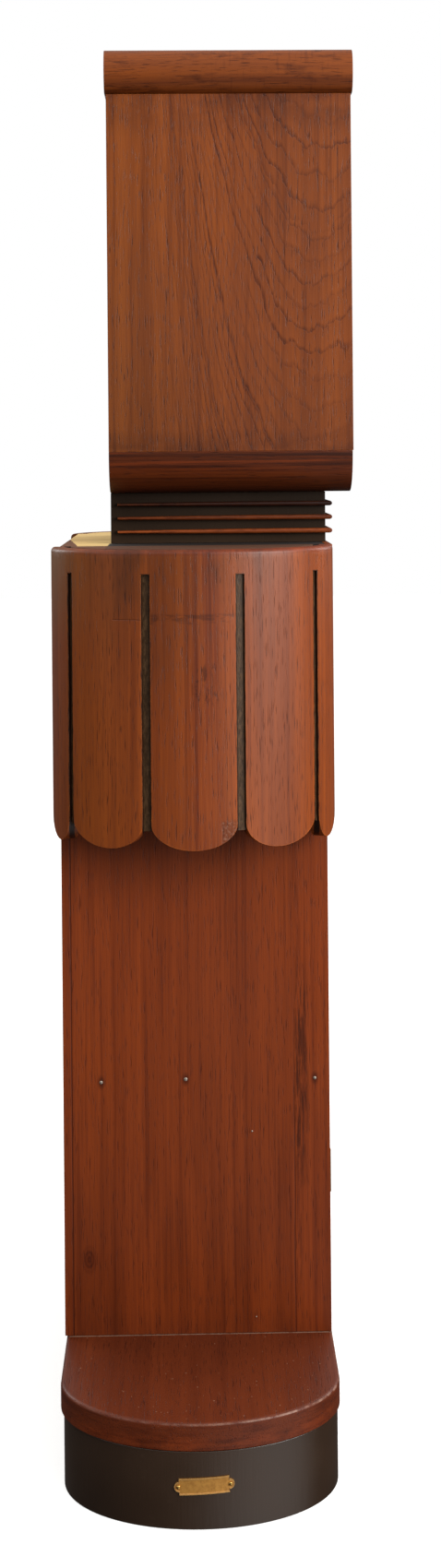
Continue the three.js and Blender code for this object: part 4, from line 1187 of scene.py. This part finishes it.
def chapter():
    centre, size = middle_of("chapter_ring")
    r = size.x / 2
    depth = 0.0015
    front = centre.y + size.y / 2 - depth
    inner = r - 0.034
    profile = [(inner, front + depth), (inner, front + 0.0004), (inner + 0.0006, front), (r - 0.0006, front),
               (r, front + 0.0004), (r, front + depth), (inner, front + depth)]
    vertices, faces = turned(profile, (centre.x, 0.0, centre.z), "Y", 120)
    piece("hour_circle", vertices, faces[:-2], "case", ring_brass, "brass", ["chapter_ring"], 20)
    for hour in range(12):
        long = hour % 3 == 0
        length, half = (0.0230, 0.0034) if long else (0.0190, 0.0022)
        outer = r - 0.0080
        turn = math.radians(30 * hour)
        corners = [(-half, outer), (half, outer), (half * 0.7, outer - length), (-half * 0.7, outer - length)]
        c, n = math.cos(turn), math.sin(turn)
        placed = [(centre.x + u * c + v * n, centre.z - u * n + v * c) for u, v in corners]
        vertices = [(x, front - 0.0009, z) for x, z in placed] + [(x, front + 0.0002, z) for x, z in placed]
        faces = [(0, 1, 2, 3), (7, 6, 5, 4)] + [(i, i + 4, (i + 1) % 4 + 4, (i + 1) % 4) for i in range(4)]
        bevel(piece(f"hour_baton_{hour}", vertices, faces, "case", blackened, "blackened_steel"), 0.0003, 2)


chapter()


def hand_nut():
    centre, size = middle_of("hand_nut")
    r, half, bore = size.x / 2, size.y / 2, 0.0027
    profile = [(bore, -half), (0.0045, -half), (r, -half + 0.0010), (r, half), (bore, half), (bore, -half)]
    vertices, faces = turned(profile, centre, "Y", 32)
    piece("centre_nut", vertices, faces[:-2], "minute_arbor", bright_brass, "brass", ["hand_nut"], 40)


hand_nut()

# ---- round-head screws through the hinges' leaves and round the back panels ----
for where in ("lower", "upper"):
    leaves = ((f"trunk_hinge_{where}", "case", -1), (f"trunk_door_hinge_{where}", "trunk_door", 1))
    for node, body, outer in leaves:
        low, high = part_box(node)
        x = low.x + 0.0065 if outer < 0 else high.x - 0.0065
        face = high.y - 0.0020
        for count, z in enumerate((low.z + 0.007, high.z - 0.007)):
            dome(f"{node}_screw_{count}", (x, face, z), 0.0026, -0.0009, "Y", body, bright_brass, "brass", 20)
for node, rows in (("trunk_back", 5), ("head_back", 3)):
    low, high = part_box(node)
    for row in range(rows):
        z = low.z + 0.03 + (high.z - low.z - 0.06) * row / (rows - 1)
        for side, x in (("a", low.x + 0.012), ("b", high.x - 0.012)):
            centre = (x, high.y, z)
            dome(f"{node}_screw_{row}_{side}", centre, 0.0034, 0.0012, "Y", "case", nail_steel, "steel", 16)


# ---- floor, light and backdrop ----
def floor():
    size = 14.0
    mesh = bpy.data.meshes.new("floor")
    corners = [(-size, -size, 0), (size, -size, 0), (size, size, 0), (-size, size, 0)]
    mesh.from_pydata(corners, [], [(0, 1, 2, 3)])
    made = bpy.data.objects.new("floor", mesh)
    scene.collection.objects.link(made)
    s = Shader("pale_floor")
    grey = s.ramp(s.noise(1.5, 2.0), ((0.3, (0.93, 0.93, 0.925)), (0.7, (0.95, 0.95, 0.945))))
    mesh.materials.append(s.finish(grey, 0.9, Emission_Color=(1, 1, 1, 1), Emission_Strength=0.42))
    made.visible_diffuse = False
    made.visible_glossy = False


def area_light(name, place, target, size, power, color=(1, 1, 1)):
    data = bpy.data.lights.new(name, "AREA")
    data.shape = "RECTANGLE"
    data.size, data.size_y = size
    data.energy = power
    data.color = color
    light = bpy.data.objects.new(name, data)
    scene.collection.objects.link(light)
    light.location = place
    light.rotation_euler = (Vector(target) - Vector(place)).to_track_quat("-Z", "Y").to_euler()


# From the clock, the lit patch of floor by the window lies this way.
BOUNCE_FROM = Vector((-0.66, -0.55, -0.51)).normalized()


def world():
    """White to the camera and through glass; to the object a soft light from above, little from elsewhere."""
    made = bpy.data.worlds.new("studio")
    s = Nodes(made)
    toward = s.node("ShaderNodeTexCoord").outputs["Generated"]
    _, _, up = s.parts(toward)
    levels = ((0.0, 0.04), (0.48, 0.06), (0.58, 0.22), (0.80, 0.85))
    above = s.ramp(up * 0.5 + 0.5, [(place, (light,) * 3) for place, light in levels])
    bounce = s.band(s.vector("DOT_PRODUCT", toward, BOUNCE_FROM, "Value"), 0.80, 0.97, 0.0, 0.75)
    strength = s.math("ADD", above, bounce)
    lit = s.node("ShaderNodeBackground", {"Color": (1.0, 0.985, 0.96, 1), "Strength": strength})
    seen = s.node("ShaderNodeBackground", {"Color": (1, 1, 1, 1), "Strength": 1.0})
    path = s.node("ShaderNodeLightPath").outputs
    straight = s.math("MAXIMUM", path["Is Camera Ray"], path["Is Transmission Ray"])
    pick = s.node("ShaderNodeMixShader", {0: straight, 1: lit.outputs[0], 2: seen.outputs[0]})
    s.node("ShaderNodeOutputWorld", {0: pick.outputs[0]})
    scene.world = made


floor()
world()
area_light("key", (-2.5, -2.5, 2.1), (-0.2, 0.0, 1.05), (2.2, 1.8), 130, (1.0, 0.985, 0.96))
area_light("fill", (-2.4, 2.6, 2.2), (-0.2, 0.0, 1.0), (1.6, 2.0), 8)
area_light("front", (1.6, -3.2, 2.4), (0.0, 0.0, 1.0), (2.0, 2.0), 50)
area_light("rear", (1.8, 3.0, 2.4), (0.0, 0.0, 1.0), (2.0, 2.0), 50)
scene.view_settings.view_transform = "Standard"
scene.view_settings.look = "None"
